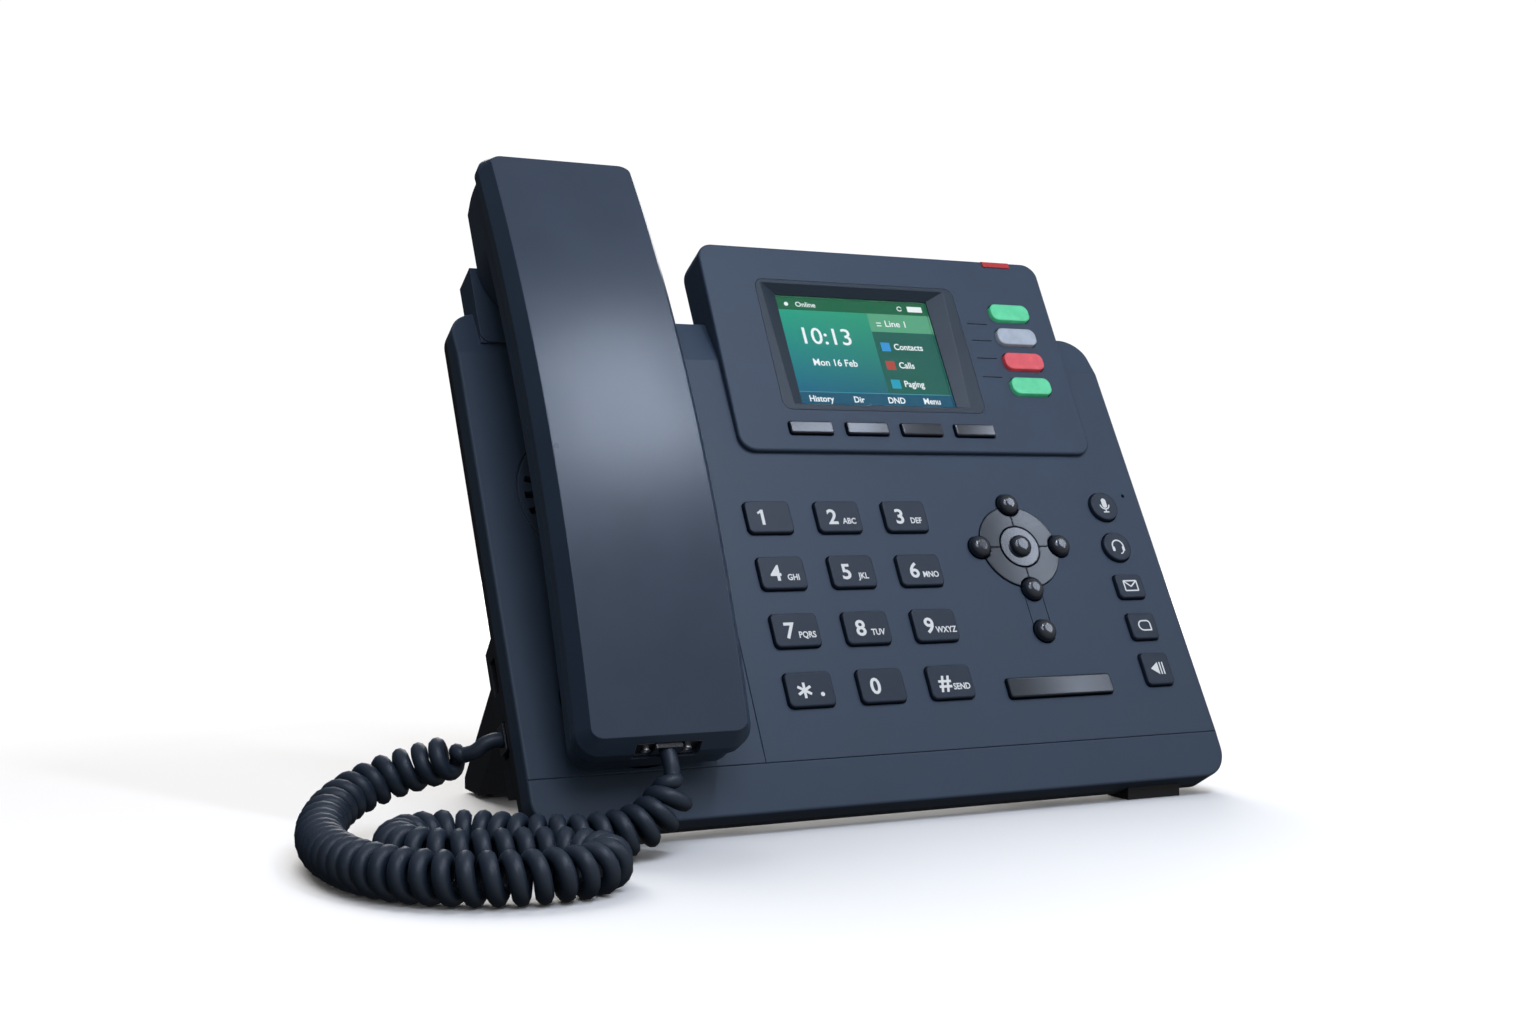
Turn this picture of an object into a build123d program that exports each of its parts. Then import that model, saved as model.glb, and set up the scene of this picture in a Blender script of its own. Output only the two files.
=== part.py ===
"""Desk telephone: a tilted key panel with a colour display, on a rear stand, with a corded handset.

Units are millimetres, +Z is up and the desk is at Z = 0.  The key panel has coordinates of its own:
u runs along the width from the left end, v climbs the slope from the front edge, and n points out
of the face.  Depths behind the face are negative n.
"""

from build123d import *
import os
from math import cos, pi, radians, sin, tan

os.makedirs("parts", exist_ok=True)

# ---------------------------------------------------------------- driving dimensions
WIDTH = 209.0
TILT = radians(61.3)
FRONT_Y = -43.9
FRONT_LIFT = 6.0
WALL = 2.0
CLEARANCE = 0.35

SLAB_LENGTH = 149.4
SLAB_DEPTH = 10.0
PARTING_DEPTH = 7.0
SLAB_CORNER = 8.0
LIP_TOP = 12.9
FACET_START = 134.8
FACET_DROP = 3.2

BLOCK_DEPTH = 18.5
BAY_DEPTH = 23.6
BAY_LEFT, BAY_RIGHT = 60.0, 149.0
BAY_SHELF = 33.0

POD_LEFT, POD_RIGHT = 77.0, 196.0
POD_BOTTOM, POD_TOP = 104.5, 174.0
POD_CORNER = 5.0
BEZEL_LEFT, BEZEL_RIGHT = 93.2, 161.6
BEZEL_BOTTOM, BEZEL_TOP = 117.9, 162.6
LCD_LEFT, LCD_RIGHT = 100.6, 152.8
LCD_BOTTOM, LCD_TOP = 121.0, 159.0

HANDSET_U = 30.7
HANDSET_WIDTH = 46.0
HANDSET_BOTTOM, HANDSET_TOP = 12.2, 187.0
CREST_V, CREST_N = 106.0, 29.0
CREST_RADIUS = 455.0
TRAVEL = 1.2

WIRE = 4.0
COIL = 12.0

panel = Plane(
    origin=(-WIDTH / 2, FRONT_Y, FRONT_LIFT), x_dir=(1, 0, 0), z_dir=(0, -sin(TILT), cos(TILT))
)


def place(u, v, n=0.0):
    """World point of a place on the panel."""
    return panel.from_local_coords((u, v, n))


def side_plane(u):
    """Plane across the panel at u: its x is v and its y is n, and it looks along +X."""
    return Plane(origin=place(u, 0), x_dir=(0, cos(TILT), sin(TILT)), z_dir=(1, 0, 0))


def finish(piece, name, colour):
    """Label a finished piece, colour it and write its STEP."""
    piece.part.label = name
    piece.part.color = Color(*colour)
    export_step(piece.part, f"parts/{name}.step")
    return piece.part


HOUSING_COLOUR = (0.16, 0.20, 0.26)
DARK_COLOUR = (0.05, 0.06, 0.08)
GLOSS_COLOUR = (0.10, 0.12, 0.15)
BOARD_COLOUR = (0.05, 0.30, 0.16)
STEEL_COLOUR = (0.62, 0.63, 0.65)

# ---------------------------------------------------------------- keys: places and sizes
DIAL_SIZE = (13.7, 9.7)
DIAL_COLUMNS = (80.7, 102.35, 124.0)
DIAL_ROWS = (83.5, 66.4, 49.3, 32.2)
DIAL_NAMES = ("1", "2", "3", "4", "5", "6", "7", "8", "9", "star", "0", "hash")

SOFT_SIZE = (13.7, 3.9)
SOFT_COLUMNS = (100.3, 118.65, 137.0, 155.3)
SOFT_ROW = 111.7

LINE_SIZE = (14.2, 6.0)
LINE_COLUMN = 180.4
LINE_ROWS = (154.3, 145.5, 136.6, 127.7)

FEATURE_COLUMN = 194.4
ROUND_KEYS = {"mute_key": 86.5, "headset_key": 72.8}
SQUARE_KEYS = {"message_key": (59.6, 7.6), "redial_key": (46.6, 8.3), "speaker_key": (32.9, 9.9)}
FEATURE_WIDTH = 9.4

RING_CENTRE = (160.0, 73.5)
RING_RADIUS = 13.3
RING_REACH = 10.3
OK_RADIUS = 6.3
DOME_RADIUS = 3.4
DOME_KEYS = {
    "up_key": (160.0, 87.3),
    "left_key": (146.2, 73.5),
    "right_key": (173.8, 73.5),
    "down_key": (160.0, 59.7),
    "cancel_key": (160.0, 46.5),
}

ROCKER_CENTRE = (159.5, 29.4)
ROCKER_SIZE = (34.8, 5.8)

GRILLE_CENTRE = (31.0, 91.0)
GRILLE_RADIUS = 20.9
GRILLE_GROOVE, GRILLE_GROOVE_DEPTH = 0.6, 0.6

FLANGE_TOP = -2.9
FLANGE_BASE = -3.7
KEY_HEIGHT = 1.3
POD_FACE = 1.5
POD_FACE_TOP = 3.0


def pod_face(v):
    """Height of the display housing's face, which rises a little towards its top."""
    return POD_FACE + (POD_FACE_TOP - POD_FACE) * (v - POD_BOTTOM) / (POD_TOP - POD_BOTTOM)


# ---------------------------------------------------------------- shared shapes
PANEL_AXIS = Axis(panel.origin, panel.z_dir)


def slab_profile(inset, back):
    """Side outline of the slab in (v, n), with its face lowered by inset, down to n = back."""
    return [
        (inset, -0.6 - inset),
        (LIP_TOP, -inset),
        (FACET_START, -inset),
        (SLAB_LENGTH - inset, -FACET_DROP - inset),
        (SLAB_LENGTH - inset, back),
        (inset, back),
    ]


def key_hole(centre, size, corner):
    """Rounded rectangular key hole with clearance all round, in the sketch in hand."""
    with Locations(centre):
        RectangleRounded(size[0] + 2 * CLEARANCE, size[1] + 2 * CLEARANCE, corner + CLEARANCE)


def rectangular_key(name, centre, size, corner, top, colour):
    """Key cap on a flange that keeps it behind the cover."""
    drop = top - KEY_HEIGHT
    with BuildPart() as key:
        with BuildSketch(panel.offset(drop + FLANGE_BASE)):
            with Locations(centre):
                RectangleRounded(*size, corner)
        extrude(amount=KEY_HEIGHT - FLANGE_BASE)
        fillet(key.faces().sort_by(PANEL_AXIS)[-1].edges(), 0.4)
        with BuildSketch(panel.offset(drop + FLANGE_BASE)):
            with Locations(centre):
                RectangleRounded(size[0] + 1.6, size[1] + 1.6, corner + 0.8)
        extrude(amount=FLANGE_TOP - FLANGE_BASE)
    return finish(key, name, colour)


def round_key(name, centre, radius, top, colour, dome=0.0):
    """Round key on a flange, with its edge rounded or, with dome, a swelling top."""
    with BuildPart() as key:
        with BuildSketch(panel.offset(FLANGE_BASE)):
            with Locations(centre):
                Circle(radius)
        extrude(amount=top - FLANGE_BASE)
        fillet(key.faces().sort_by(PANEL_AXIS)[-1].edges(), dome if dome else 0.4)
        with BuildSketch(panel.offset(FLANGE_BASE)):
            with Locations(centre):
                Circle(radius + 0.6)
        extrude(amount=FLANGE_TOP - FLANGE_BASE)
    return finish(key, name, colour)


def block(name, centre, size, back, thickness, colour, corner=1.0):
    """Plain block parallel to the panel, from n = back outwards."""
    with BuildPart() as piece:
        with BuildSketch(panel.offset(back)):
            with Locations(centre):
                RectangleRounded(*size, corner)
        extrude(amount=thickness)
    return finish(piece, name, colour)


# ---------------------------------------------------------------- front cover
TOWER_LEFT, TOWER_RIGHT, TOWER_TOP, TOWER_FOOT = 7.2, 52.8, 162.0, 138.0
TOWER_RISE = 0.6
EAR_V, EAR_RADIUS = 162.0, 20.2
MOUTH_V, MOUTH_RADIUS = 33.0, 19.0
CUP_FLOOR, CUP_WALL = -4.0, 1.2
SLOT_SIZE = (3.2, 2.0)
SLOT_RINGS = ((17.4, 24), (12.4, 18), (7.4, 10))
NOTCH_BOTTOM = 106.5
MICROPHONE_HOLE = (203.4, 90.5)
SCREW_PLACES = ((9.5, 6.0), (199.5, 6.0), (66.0, 128.0), (202.0, 128.0))
HOOK_PLACE, HOOK_SIZE = (HANDSET_U, 144.9), (8.0, 2.6)
GROOVE_WIDTH, GROOVE_DEPTH = 0.28, 0.4
CRADLE_U, CRADLE_TOP = 63.75, 104.0
LINK_SPREAD, LINK_BOTTOM, LINK_TOP = 3.0, 48.75, 57.45
FACE_ROUND = 0.7
FAR = 60.0


def rim_edges(piece, depth, bottom, top):
    """Edges round the outside of a cover's face: above a depth, without those across the face."""
    rim = ShapeList()
    for edge in piece.edges():
        middle = panel.to_local_coords(edge.center())
        across = edge.geom_type == GeomType.LINE and bottom + 0.5 < middle.Y < top - 0.5
        along_x = abs(edge.end_point().X - edge.start_point().X) > 20
        if middle.Z > depth and not (across and along_x):
            rim.append(edge)
    return rim


with BuildPart() as front_cover:
    with BuildSketch(side_plane(0)):
        with BuildLine():
            Polyline(*slab_profile(0, -PARTING_DEPTH), close=True)
        make_face()
    extrude(amount=WIDTH)
    with BuildSketch(panel.offset(-SLAB_DEPTH)):
        with Locations((WIDTH / 2, SLAB_LENGTH / 2)):
            RectangleRounded(WIDTH, SLAB_LENGTH, SLAB_CORNER)
    extrude(amount=FAR, mode=Mode.INTERSECT)
    fillet(rim_edges(front_cover, -PARTING_DEPTH + 1, 0, SLAB_LENGTH), FACE_ROUND)
    with BuildSketch(side_plane(WALL)):
        with BuildLine():
            Polyline(*slab_profile(WALL, -PARTING_DEPTH - 1), close=True)
        make_face()
    extrude(amount=WIDTH - 2 * WALL, mode=Mode.SUBTRACT)
    # tower behind the earpiece, standing up past the slab, and the two handset cups
    with BuildSketch(panel.offset(-SLAB_DEPTH + 0.2)):
        with Locations(((TOWER_LEFT + TOWER_RIGHT) / 2, (SLAB_LENGTH + 0.2 + TOWER_TOP) / 2)):
            Rectangle(TOWER_RIGHT - TOWER_LEFT, TOWER_TOP - SLAB_LENGTH - 0.2)
    extrude(amount=SLAB_DEPTH + TOWER_RISE - 0.2)
    with BuildSketch(panel.offset(-PARTING_DEPTH + 0.2)):
        with Locations(((TOWER_LEFT + TOWER_RIGHT) / 2, (TOWER_FOOT + TOWER_TOP) / 2)):
            Rectangle(TOWER_RIGHT - TOWER_LEFT, TOWER_TOP - TOWER_FOOT)
        with Locations((HANDSET_U, MOUTH_V)):
            Circle(MOUTH_RADIUS + CUP_WALL)
    extrude(amount=PARTING_DEPTH - 0.2)
    with BuildSketch(panel.offset(-1)):
        with Locations(((TOWER_LEFT + TOWER_RIGHT) / 2, (TOWER_FOOT + TOWER_TOP) / 2)):
            RectangleRounded(TOWER_RIGHT - TOWER_LEFT, TOWER_TOP - TOWER_FOOT, 3)
    extrude(amount=1 + TOWER_RISE)
    with BuildSketch(panel.offset(CUP_FLOOR)):
        with Locations((HANDSET_U, EAR_V)):
            Circle(EAR_RADIUS)
        with Locations((HANDSET_U, MOUTH_V)):
            Circle(MOUTH_RADIUS)
    extrude(amount=FAR, mode=Mode.SUBTRACT)
    # bosses that the housing screws bite into
    with BuildSketch(panel.offset(-PARTING_DEPTH)):
        with Locations(*SCREW_PLACES):
            Circle(3.0)
    extrude(amount=PARTING_DEPTH - 1.5)
    with BuildSketch(panel.offset(-PARTING_DEPTH - 1)):
        with Locations(*SCREW_PLACES):
            Circle(1.5)
    extrude(amount=4.5, mode=Mode.SUBTRACT)
    # holes for the keys, the hook switch, the trim and the display housing
    with BuildSketch(panel.offset(-SLAB_DEPTH)):
        for row in DIAL_ROWS:
            for column in DIAL_COLUMNS:
                key_hole((column, row), DIAL_SIZE, 1.5)
        for row in ROUND_KEYS.values():
            with Locations((FEATURE_COLUMN, row)):
                Circle(FEATURE_WIDTH / 2 + CLEARANCE)
        for row, height in SQUARE_KEYS.values():
            key_hole((FEATURE_COLUMN, row), (FEATURE_WIDTH, height), 1.3)
        key_hole(ROCKER_CENTRE, ROCKER_SIZE, 0.8)
        key_hole(HOOK_PLACE, HOOK_SIZE, 0.4)
        with Locations(RING_CENTRE):
            Circle(RING_RADIUS)
        with Locations(*DOME_KEYS.values()):
            Circle(DOME_RADIUS + CLEARANCE)
        with Locations(((POD_LEFT + POD_RIGHT) / 2, (NOTCH_BOTTOM + SLAB_LENGTH + 4) / 2)):
            Rectangle(POD_RIGHT - POD_LEFT - 2 * WALL, SLAB_LENGTH + 4 - NOTCH_BOTTOM)
        with Locations(MICROPHONE_HOLE):
            Circle(0.6)
    extrude(amount=2 * SLAB_DEPTH, mode=Mode.SUBTRACT)
    # loudspeaker grille: rings of short slots that point to the middle, inside a round groove
    with BuildSketch(panel.offset(-3)):
        with Locations(GRILLE_CENTRE):
            for ring_radius, slots in SLOT_RINGS:
                with PolarLocations(ring_radius, slots):
                    Rectangle(*SLOT_SIZE)
    extrude(amount=6, mode=Mode.SUBTRACT)
    with BuildSketch(panel.offset(-GRILLE_GROOVE_DEPTH)):
        with Locations(GRILLE_CENTRE):
            Circle(GRILLE_RADIUS + GRILLE_GROOVE / 2)
            Circle(GRILLE_RADIUS - GRILLE_GROOVE / 2, mode=Mode.SUBTRACT)
    extrude(amount=FAR, mode=Mode.SUBTRACT)
    # fine grooves: along the front lip, beside the cradle, and from the lowest arrow key to cancel
    with BuildSketch(panel.offset(-GROOVE_DEPTH)):
        with Locations((WIDTH / 2, LIP_TOP + GROOVE_WIDTH / 2)):
            Rectangle(WIDTH, GROOVE_WIDTH)
        with Locations((CRADLE_U, (LIP_TOP + CRADLE_TOP) / 2)):
            Rectangle(GROOVE_WIDTH, CRADLE_TOP - LIP_TOP)
        for side in (-LINK_SPREAD, LINK_SPREAD):
            with Locations((RING_CENTRE[0] + side, (LINK_BOTTOM + LINK_TOP) / 2)):
                Rectangle(GROOVE_WIDTH, LINK_TOP - LINK_BOTTOM)
    extrude(amount=FAR, mode=Mode.SUBTRACT)
finish(front_cover, "front_cover", HOUSING_COLOUR)

# ---------------------------------------------------------------- rear cover
BLOCK_LEFT, BLOCK_RIGHT = 0.8, 208.2
BLOCK_PROFILE = ((11.8, -9.0), (57.0, -9.0), (54.0, -BLOCK_DEPTH), (14.6, -BLOCK_DEPTH))
PORT_HEIGHTS = {"handset": 28.5, "headset": 45.9}
PORT_N = -12.8
PORT_SIZE = (9.4, 6.8)
BOSS_PLACES = ((54.5, 104.0), (154.5, 104.0))
BOSS_RADIUS, BOSS_RISE, BOSS_BORE, BOSS_DEPTH = 5.0, 4.0, 1.6, 5.0
STAND_SLOT_V, STAND_SLOT = 74.0, (12.0, 4.0)
STAND_CLIPS_U = (40.0, 169.0)

with BuildPart() as rear_cover:
    with BuildSketch(panel.offset(-SLAB_DEPTH)):
        with Locations((WIDTH / 2, SLAB_LENGTH / 2)):
            RectangleRounded(WIDTH, SLAB_LENGTH, SLAB_CORNER)
    extrude(amount=SLAB_DEPTH - PARTING_DEPTH)
    with BuildSketch(side_plane(BLOCK_LEFT)):
        with BuildLine():
            Polyline(*BLOCK_PROFILE, close=True)
        make_face()
    extrude(amount=BLOCK_RIGHT - BLOCK_LEFT)
    with BuildSketch(panel.offset(-BAY_DEPTH)):
        with Locations(((BAY_LEFT + BAY_RIGHT) / 2, (14.6 + 54.0) / 2)):
            RectangleRounded(BAY_RIGHT - BAY_LEFT, 54.0 - 14.6, 2)
    extrude(amount=BAY_DEPTH - SLAB_DEPTH)
    with BuildSketch(panel.offset(-SLAB_DEPTH)):
        with Locations(*BOSS_PLACES):
            Circle(BOSS_RADIUS)
    extrude(amount=-BOSS_RISE)
    # room inside: the slab, the block on both sides of the bay, and the bay above its shelf
    with BuildSketch(panel.offset(-SLAB_DEPTH + WALL)):
        with Locations((WIDTH / 2, SLAB_LENGTH / 2)):
            RectangleRounded(WIDTH - 2 * WALL, SLAB_LENGTH - 2 * WALL, SLAB_CORNER - WALL)
    extrude(amount=SLAB_DEPTH, mode=Mode.SUBTRACT)
    with BuildSketch(panel.offset(-BLOCK_DEPTH + WALL)):
        for left, right in ((BLOCK_LEFT + WALL, BAY_LEFT - 0.1), (BAY_RIGHT + 0.1, BLOCK_RIGHT - WALL)):
            with Locations(((left + right) / 2, (17.0 + 52.0) / 2)):
                Rectangle(right - left, 52.0 - 17.0)
    extrude(amount=BLOCK_DEPTH, mode=Mode.SUBTRACT)
    with BuildSketch(panel.offset(-BAY_DEPTH + WALL)):
        with Locations(((BAY_LEFT + BAY_RIGHT) / 2, (BAY_SHELF + 52.0) / 2)):
            Rectangle(BAY_RIGHT - BAY_LEFT - 2 * WALL, 52.0 - BAY_SHELF)
    extrude(amount=BAY_DEPTH, mode=Mode.SUBTRACT)
    # plug room below the shelf, open at the back and below
    with BuildSketch(panel.offset(-BAY_DEPTH - 1)):
        with Locations(((BAY_LEFT + BAY_RIGHT) / 2, (10.0 + BAY_SHELF - WALL) / 2)):
            Rectangle(BAY_RIGHT - BAY_LEFT - 2 * WALL, BAY_SHELF - WALL - 10.0)
    extrude(amount=BAY_DEPTH + 1 - SLAB_DEPTH, mode=Mode.SUBTRACT)
    # cut-outs for the sockets in the shelf and in the left wall
    with BuildSketch(side_plane(0)):
        for port in PORT_HEIGHTS.values():
            with Locations((port, PORT_N)):
                Rectangle(*PORT_SIZE)
    extrude(amount=BLOCK_LEFT + WALL + 0.5, mode=Mode.SUBTRACT)
    with BuildSketch(panel.offset(-BAY_DEPTH + WALL)):
        for centre_u, width in ((85.0, 15.0), (103.0, 15.0), (124.0, 9.0)):
            with Locations((centre_u, BAY_SHELF - WALL / 2)):
                Rectangle(width, WALL + 1)
    extrude(amount=11.6, mode=Mode.SUBTRACT)
    # screw holes, wall bracket bores and the slots for the stand's clips
    with BuildSketch(panel.offset(-SLAB_DEPTH - 1)):
        with Locations(*SCREW_PLACES):
            Circle(1.6)
    extrude(amount=FAR, mode=Mode.SUBTRACT)
    with BuildSketch(panel.offset(-SLAB_DEPTH - BOSS_RISE - 0.1)):
        with Locations(*BOSS_PLACES):
            Circle(BOSS_BORE)
    extrude(amount=BOSS_DEPTH + 0.1, mode=Mode.SUBTRACT)
    with BuildSketch(panel.offset(-SLAB_DEPTH - 1)):
        for clip_u in STAND_CLIPS_U:
            with Locations((clip_u, STAND_SLOT_V)):
                Rectangle(STAND_SLOT[0] + 1, STAND_SLOT[1] + 1)
    extrude(amount=4, mode=Mode.SUBTRACT)
finish(rear_cover, "rear_cover", HOUSING_COLOUR)

# ---------------------------------------------------------------- display housing and what it holds
SLAB_GAP = 0.15
POD_BACK_ROUND = 7.0
LABEL_ROWS = (150.1, 144.1, 137.7, 131.0)
LABEL_CENTRE, LABEL_LENGTH = 167.6, 7.2


def pod_profile(inset):
    """Side outline of the display housing in (v, n), from the slab's face to its own."""
    return [
        (POD_BOTTOM, pod_face(POD_BOTTOM) - inset),
        (POD_TOP, pod_face(POD_TOP) - inset),
        (POD_TOP, -SLAB_DEPTH),
        (SLAB_LENGTH + SLAB_GAP, -SLAB_DEPTH),
        (SLAB_LENGTH + SLAB_GAP, -FACET_DROP),
        (FACET_START, SLAB_GAP),
        (POD_BOTTOM, SLAB_GAP),
    ]


with BuildPart() as display_housing:
    with BuildSketch(side_plane(POD_LEFT)):
        with BuildLine():
            Polyline(*pod_profile(0), close=True)
        make_face()
    extrude(amount=POD_RIGHT - POD_LEFT)
    back_edge = display_housing.edges().filter_by(Axis.X).sort_by(PANEL_AXIS)[0:2]
    fillet(back_edge.sort_by(Axis(panel.origin, panel.y_dir))[-1], POD_BACK_ROUND)
    with BuildSketch(panel.offset(-SLAB_DEPTH)):
        with Locations(((POD_LEFT + POD_RIGHT) / 2, (POD_BOTTOM + POD_TOP) / 2)):
            RectangleRounded(POD_RIGHT - POD_LEFT, POD_TOP - POD_BOTTOM, POD_CORNER)
    extrude(amount=FAR, mode=Mode.INTERSECT)
    fillet(display_housing.faces().sort_by(PANEL_AXIS)[-1].edges(), FACE_ROUND)
    # hollow, open towards the slab
    with BuildSketch(side_plane(POD_LEFT + WALL)):
        with BuildLine():
            Polyline(
                (NOTCH_BOTTOM, -4.5),
                (NOTCH_BOTTOM, pod_face(NOTCH_BOTTOM) - 1.4),
                (POD_TOP - WALL, pod_face(POD_TOP) - WALL),
                (POD_TOP - WALL, -4.0),
                (POD_TOP - 5, -SLAB_DEPTH + WALL),
                (SLAB_LENGTH - 1, -SLAB_DEPTH + WALL),
                (SLAB_LENGTH - 1, -4.5),
                close=True,
            )
        make_face()
    extrude(amount=POD_RIGHT - POD_LEFT - 2 * WALL, mode=Mode.SUBTRACT)
    with BuildSketch(panel.offset(-3)):
        with Locations(((BEZEL_LEFT + BEZEL_RIGHT) / 2, (BEZEL_BOTTOM + BEZEL_TOP) / 2)):
            RectangleRounded(BEZEL_RIGHT - BEZEL_LEFT, BEZEL_TOP - BEZEL_BOTTOM, 3)
        for column in SOFT_COLUMNS:
            key_hole((column, SOFT_ROW), SOFT_SIZE, 0.6)
        for row in LINE_ROWS:
            key_hole((LINE_COLUMN, row), LINE_SIZE, 2.4)
    extrude(amount=FAR, mode=Mode.SUBTRACT)
    with BuildSketch(panel.offset(pod_face(POD_TOP) - 3.0)):
        with Locations((181.0, POD_TOP - 1)):
            Rectangle(10.3, 2.6)
    extrude(amount=FAR, mode=Mode.SUBTRACT)
    # label grooves beside the line keys
    for row in LABEL_ROWS:
        with BuildSketch(panel.offset(pod_face(row) - GROOVE_DEPTH)):
            with Locations((LABEL_CENTRE, row)):
                Rectangle(LABEL_LENGTH, GROOVE_WIDTH)
        extrude(amount=FAR, mode=Mode.SUBTRACT)
finish(display_housing, "display_housing", HOUSING_COLOUR)

BEZEL_MARGIN = 0.12
with BuildPart() as display_bezel:
    with BuildSketch(panel.offset(-1.2)):
        with Locations(((BEZEL_LEFT + BEZEL_RIGHT) / 2, (BEZEL_BOTTOM + BEZEL_TOP) / 2)):
            RectangleRounded(
                BEZEL_RIGHT - BEZEL_LEFT - 2 * BEZEL_MARGIN, BEZEL_TOP - BEZEL_BOTTOM - 2 * BEZEL_MARGIN, 2.9
            )
    extrude(amount=8)
    with BuildSketch(side_plane(0)):
        with BuildLine():
            Polyline(
                (POD_BOTTOM, pod_face(POD_BOTTOM)), (POD_TOP, pod_face(POD_TOP)), (POD_TOP, FAR),
                (POD_BOTTOM, FAR), close=True,
            )
        make_face()
    extrude(amount=WIDTH, mode=Mode.SUBTRACT)
    # the opening funnels down to the window
    with BuildSketch(panel.offset(0.1)):
        with Locations(((LCD_LEFT + LCD_RIGHT) / 2, (LCD_BOTTOM + LCD_TOP) / 2)):
            Rectangle(LCD_RIGHT - LCD_LEFT, LCD_TOP - LCD_BOTTOM)
    with BuildSketch(panel.offset(3.2)):
        with Locations(((LCD_LEFT + LCD_RIGHT) / 2, (BEZEL_BOTTOM + BEZEL_TOP) / 2)):
            Rectangle(LCD_RIGHT - LCD_LEFT + 13.0, BEZEL_TOP - BEZEL_BOTTOM - 1.6)
    loft(mode=Mode.SUBTRACT)
    with BuildSketch(panel.offset(-2)):
        with Locations(((LCD_LEFT + LCD_RIGHT) / 2, (LCD_BOTTOM + LCD_TOP) / 2)):
            Rectangle(LCD_RIGHT - LCD_LEFT, LCD_TOP - LCD_BOTTOM)
    extrude(amount=4, mode=Mode.SUBTRACT)
finish(display_bezel, "display_bezel", GLOSS_COLOUR)

lcd_centre = ((LCD_LEFT + LCD_RIGHT) / 2, (LCD_BOTTOM + LCD_TOP) / 2)
lcd_size = (LCD_RIGHT - LCD_LEFT, LCD_TOP - LCD_BOTTOM)
block("display_window", lcd_centre, (lcd_size[0] - 0.2, lcd_size[1] - 0.2), -1.2, 1.0, GLOSS_COLOUR, 0.3)
block("lcd_module", lcd_centre, (lcd_size[0] + 5, lcd_size[1] + 2.4), -4.6, 3.2, BOARD_COLOUR, 0.5)

with BuildPart() as indicator_light:
    with BuildSketch(panel.offset(pod_face(POD_TOP) - 2.9)):
        with Locations((181.0, POD_TOP - 1.05)):
            Rectangle(10.0, 2.3)
    extrude(amount=3.1)
    fillet(indicator_light.faces().sort_by(PANEL_AXIS)[-1].edges().sort_by(Axis.Z)[-1], 0.8)
finish(indicator_light, "indicator_light", (0.7, 0.05, 0.05))

# ---------------------------------------------------------------- keys
DIAL_CENTRES = [(column, row) for row in DIAL_ROWS for column in DIAL_COLUMNS]
for digit, centre in zip(DIAL_NAMES, DIAL_CENTRES):
    rectangular_key(f"dial_key_{digit}", centre, DIAL_SIZE, 1.5, KEY_HEIGHT, HOUSING_COLOUR)

POD_KEY_RISE = 1.1
for number, column in enumerate(SOFT_COLUMNS, start=1):
    top = pod_face(SOFT_ROW) + POD_KEY_RISE
    rectangular_key(f"soft_key_{number}", (column, SOFT_ROW), SOFT_SIZE, 0.6, top, GLOSS_COLOUR)

LINE_COLOURS = ((0.2, 0.75, 0.4), (0.6, 0.62, 0.65), (0.8, 0.2, 0.25), (0.2, 0.75, 0.4))
for number, row in enumerate(LINE_ROWS, start=1):
    top = pod_face(row) + POD_KEY_RISE
    rectangular_key(f"line_key_{number}", (LINE_COLUMN, row), LINE_SIZE, 2.4, top, LINE_COLOURS[number - 1])

for name, row in ROUND_KEYS.items():
    round_key(name, (FEATURE_COLUMN, row), FEATURE_WIDTH / 2, KEY_HEIGHT, HOUSING_COLOUR)
for name, (row, height) in SQUARE_KEYS.items():
    rectangular_key(name, (FEATURE_COLUMN, row), (FEATURE_WIDTH, height), 1.3, KEY_HEIGHT, HOUSING_COLOUR)

DOME_TOP = 2.6
for name, centre in DOME_KEYS.items():
    round_key(name, centre, DOME_RADIUS, DOME_TOP, GLOSS_COLOUR, dome=2.2)

with BuildPart() as ok_key:
    with BuildSketch(panel.offset(FLANGE_BASE)):
        with Locations(RING_CENTRE):
            Circle(OK_RADIUS)
    extrude(amount=0.6 - FLANGE_BASE)
    with BuildSketch(panel.offset(0.5)):
        with Locations(RING_CENTRE):
            Circle(DOME_RADIUS)
    extrude(amount=DOME_TOP - 0.5)
    fillet(ok_key.faces().sort_by(PANEL_AXIS)[-1].edges(), 1.8)
finish(ok_key, "ok_key", GLOSS_COLOUR)

with BuildPart() as volume_rocker:
    with BuildSketch(panel.offset(FLANGE_BASE)):
        with Locations(ROCKER_CENTRE):
            RectangleRounded(*ROCKER_SIZE, 0.8)
    extrude(amount=KEY_HEIGHT - FLANGE_BASE)
    fillet(volume_rocker.faces().sort_by(PANEL_AXIS)[-1].edges(), 0.4)
    with BuildSketch(panel.offset(FLANGE_BASE)):
        with Locations(ROCKER_CENTRE):
            Rectangle(6.0, ROCKER_SIZE[1] + 3.0)
    extrude(amount=FLANGE_TOP - FLANGE_BASE - 0.2)
finish(volume_rocker, "volume_rocker", GLOSS_COLOUR)

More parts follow.
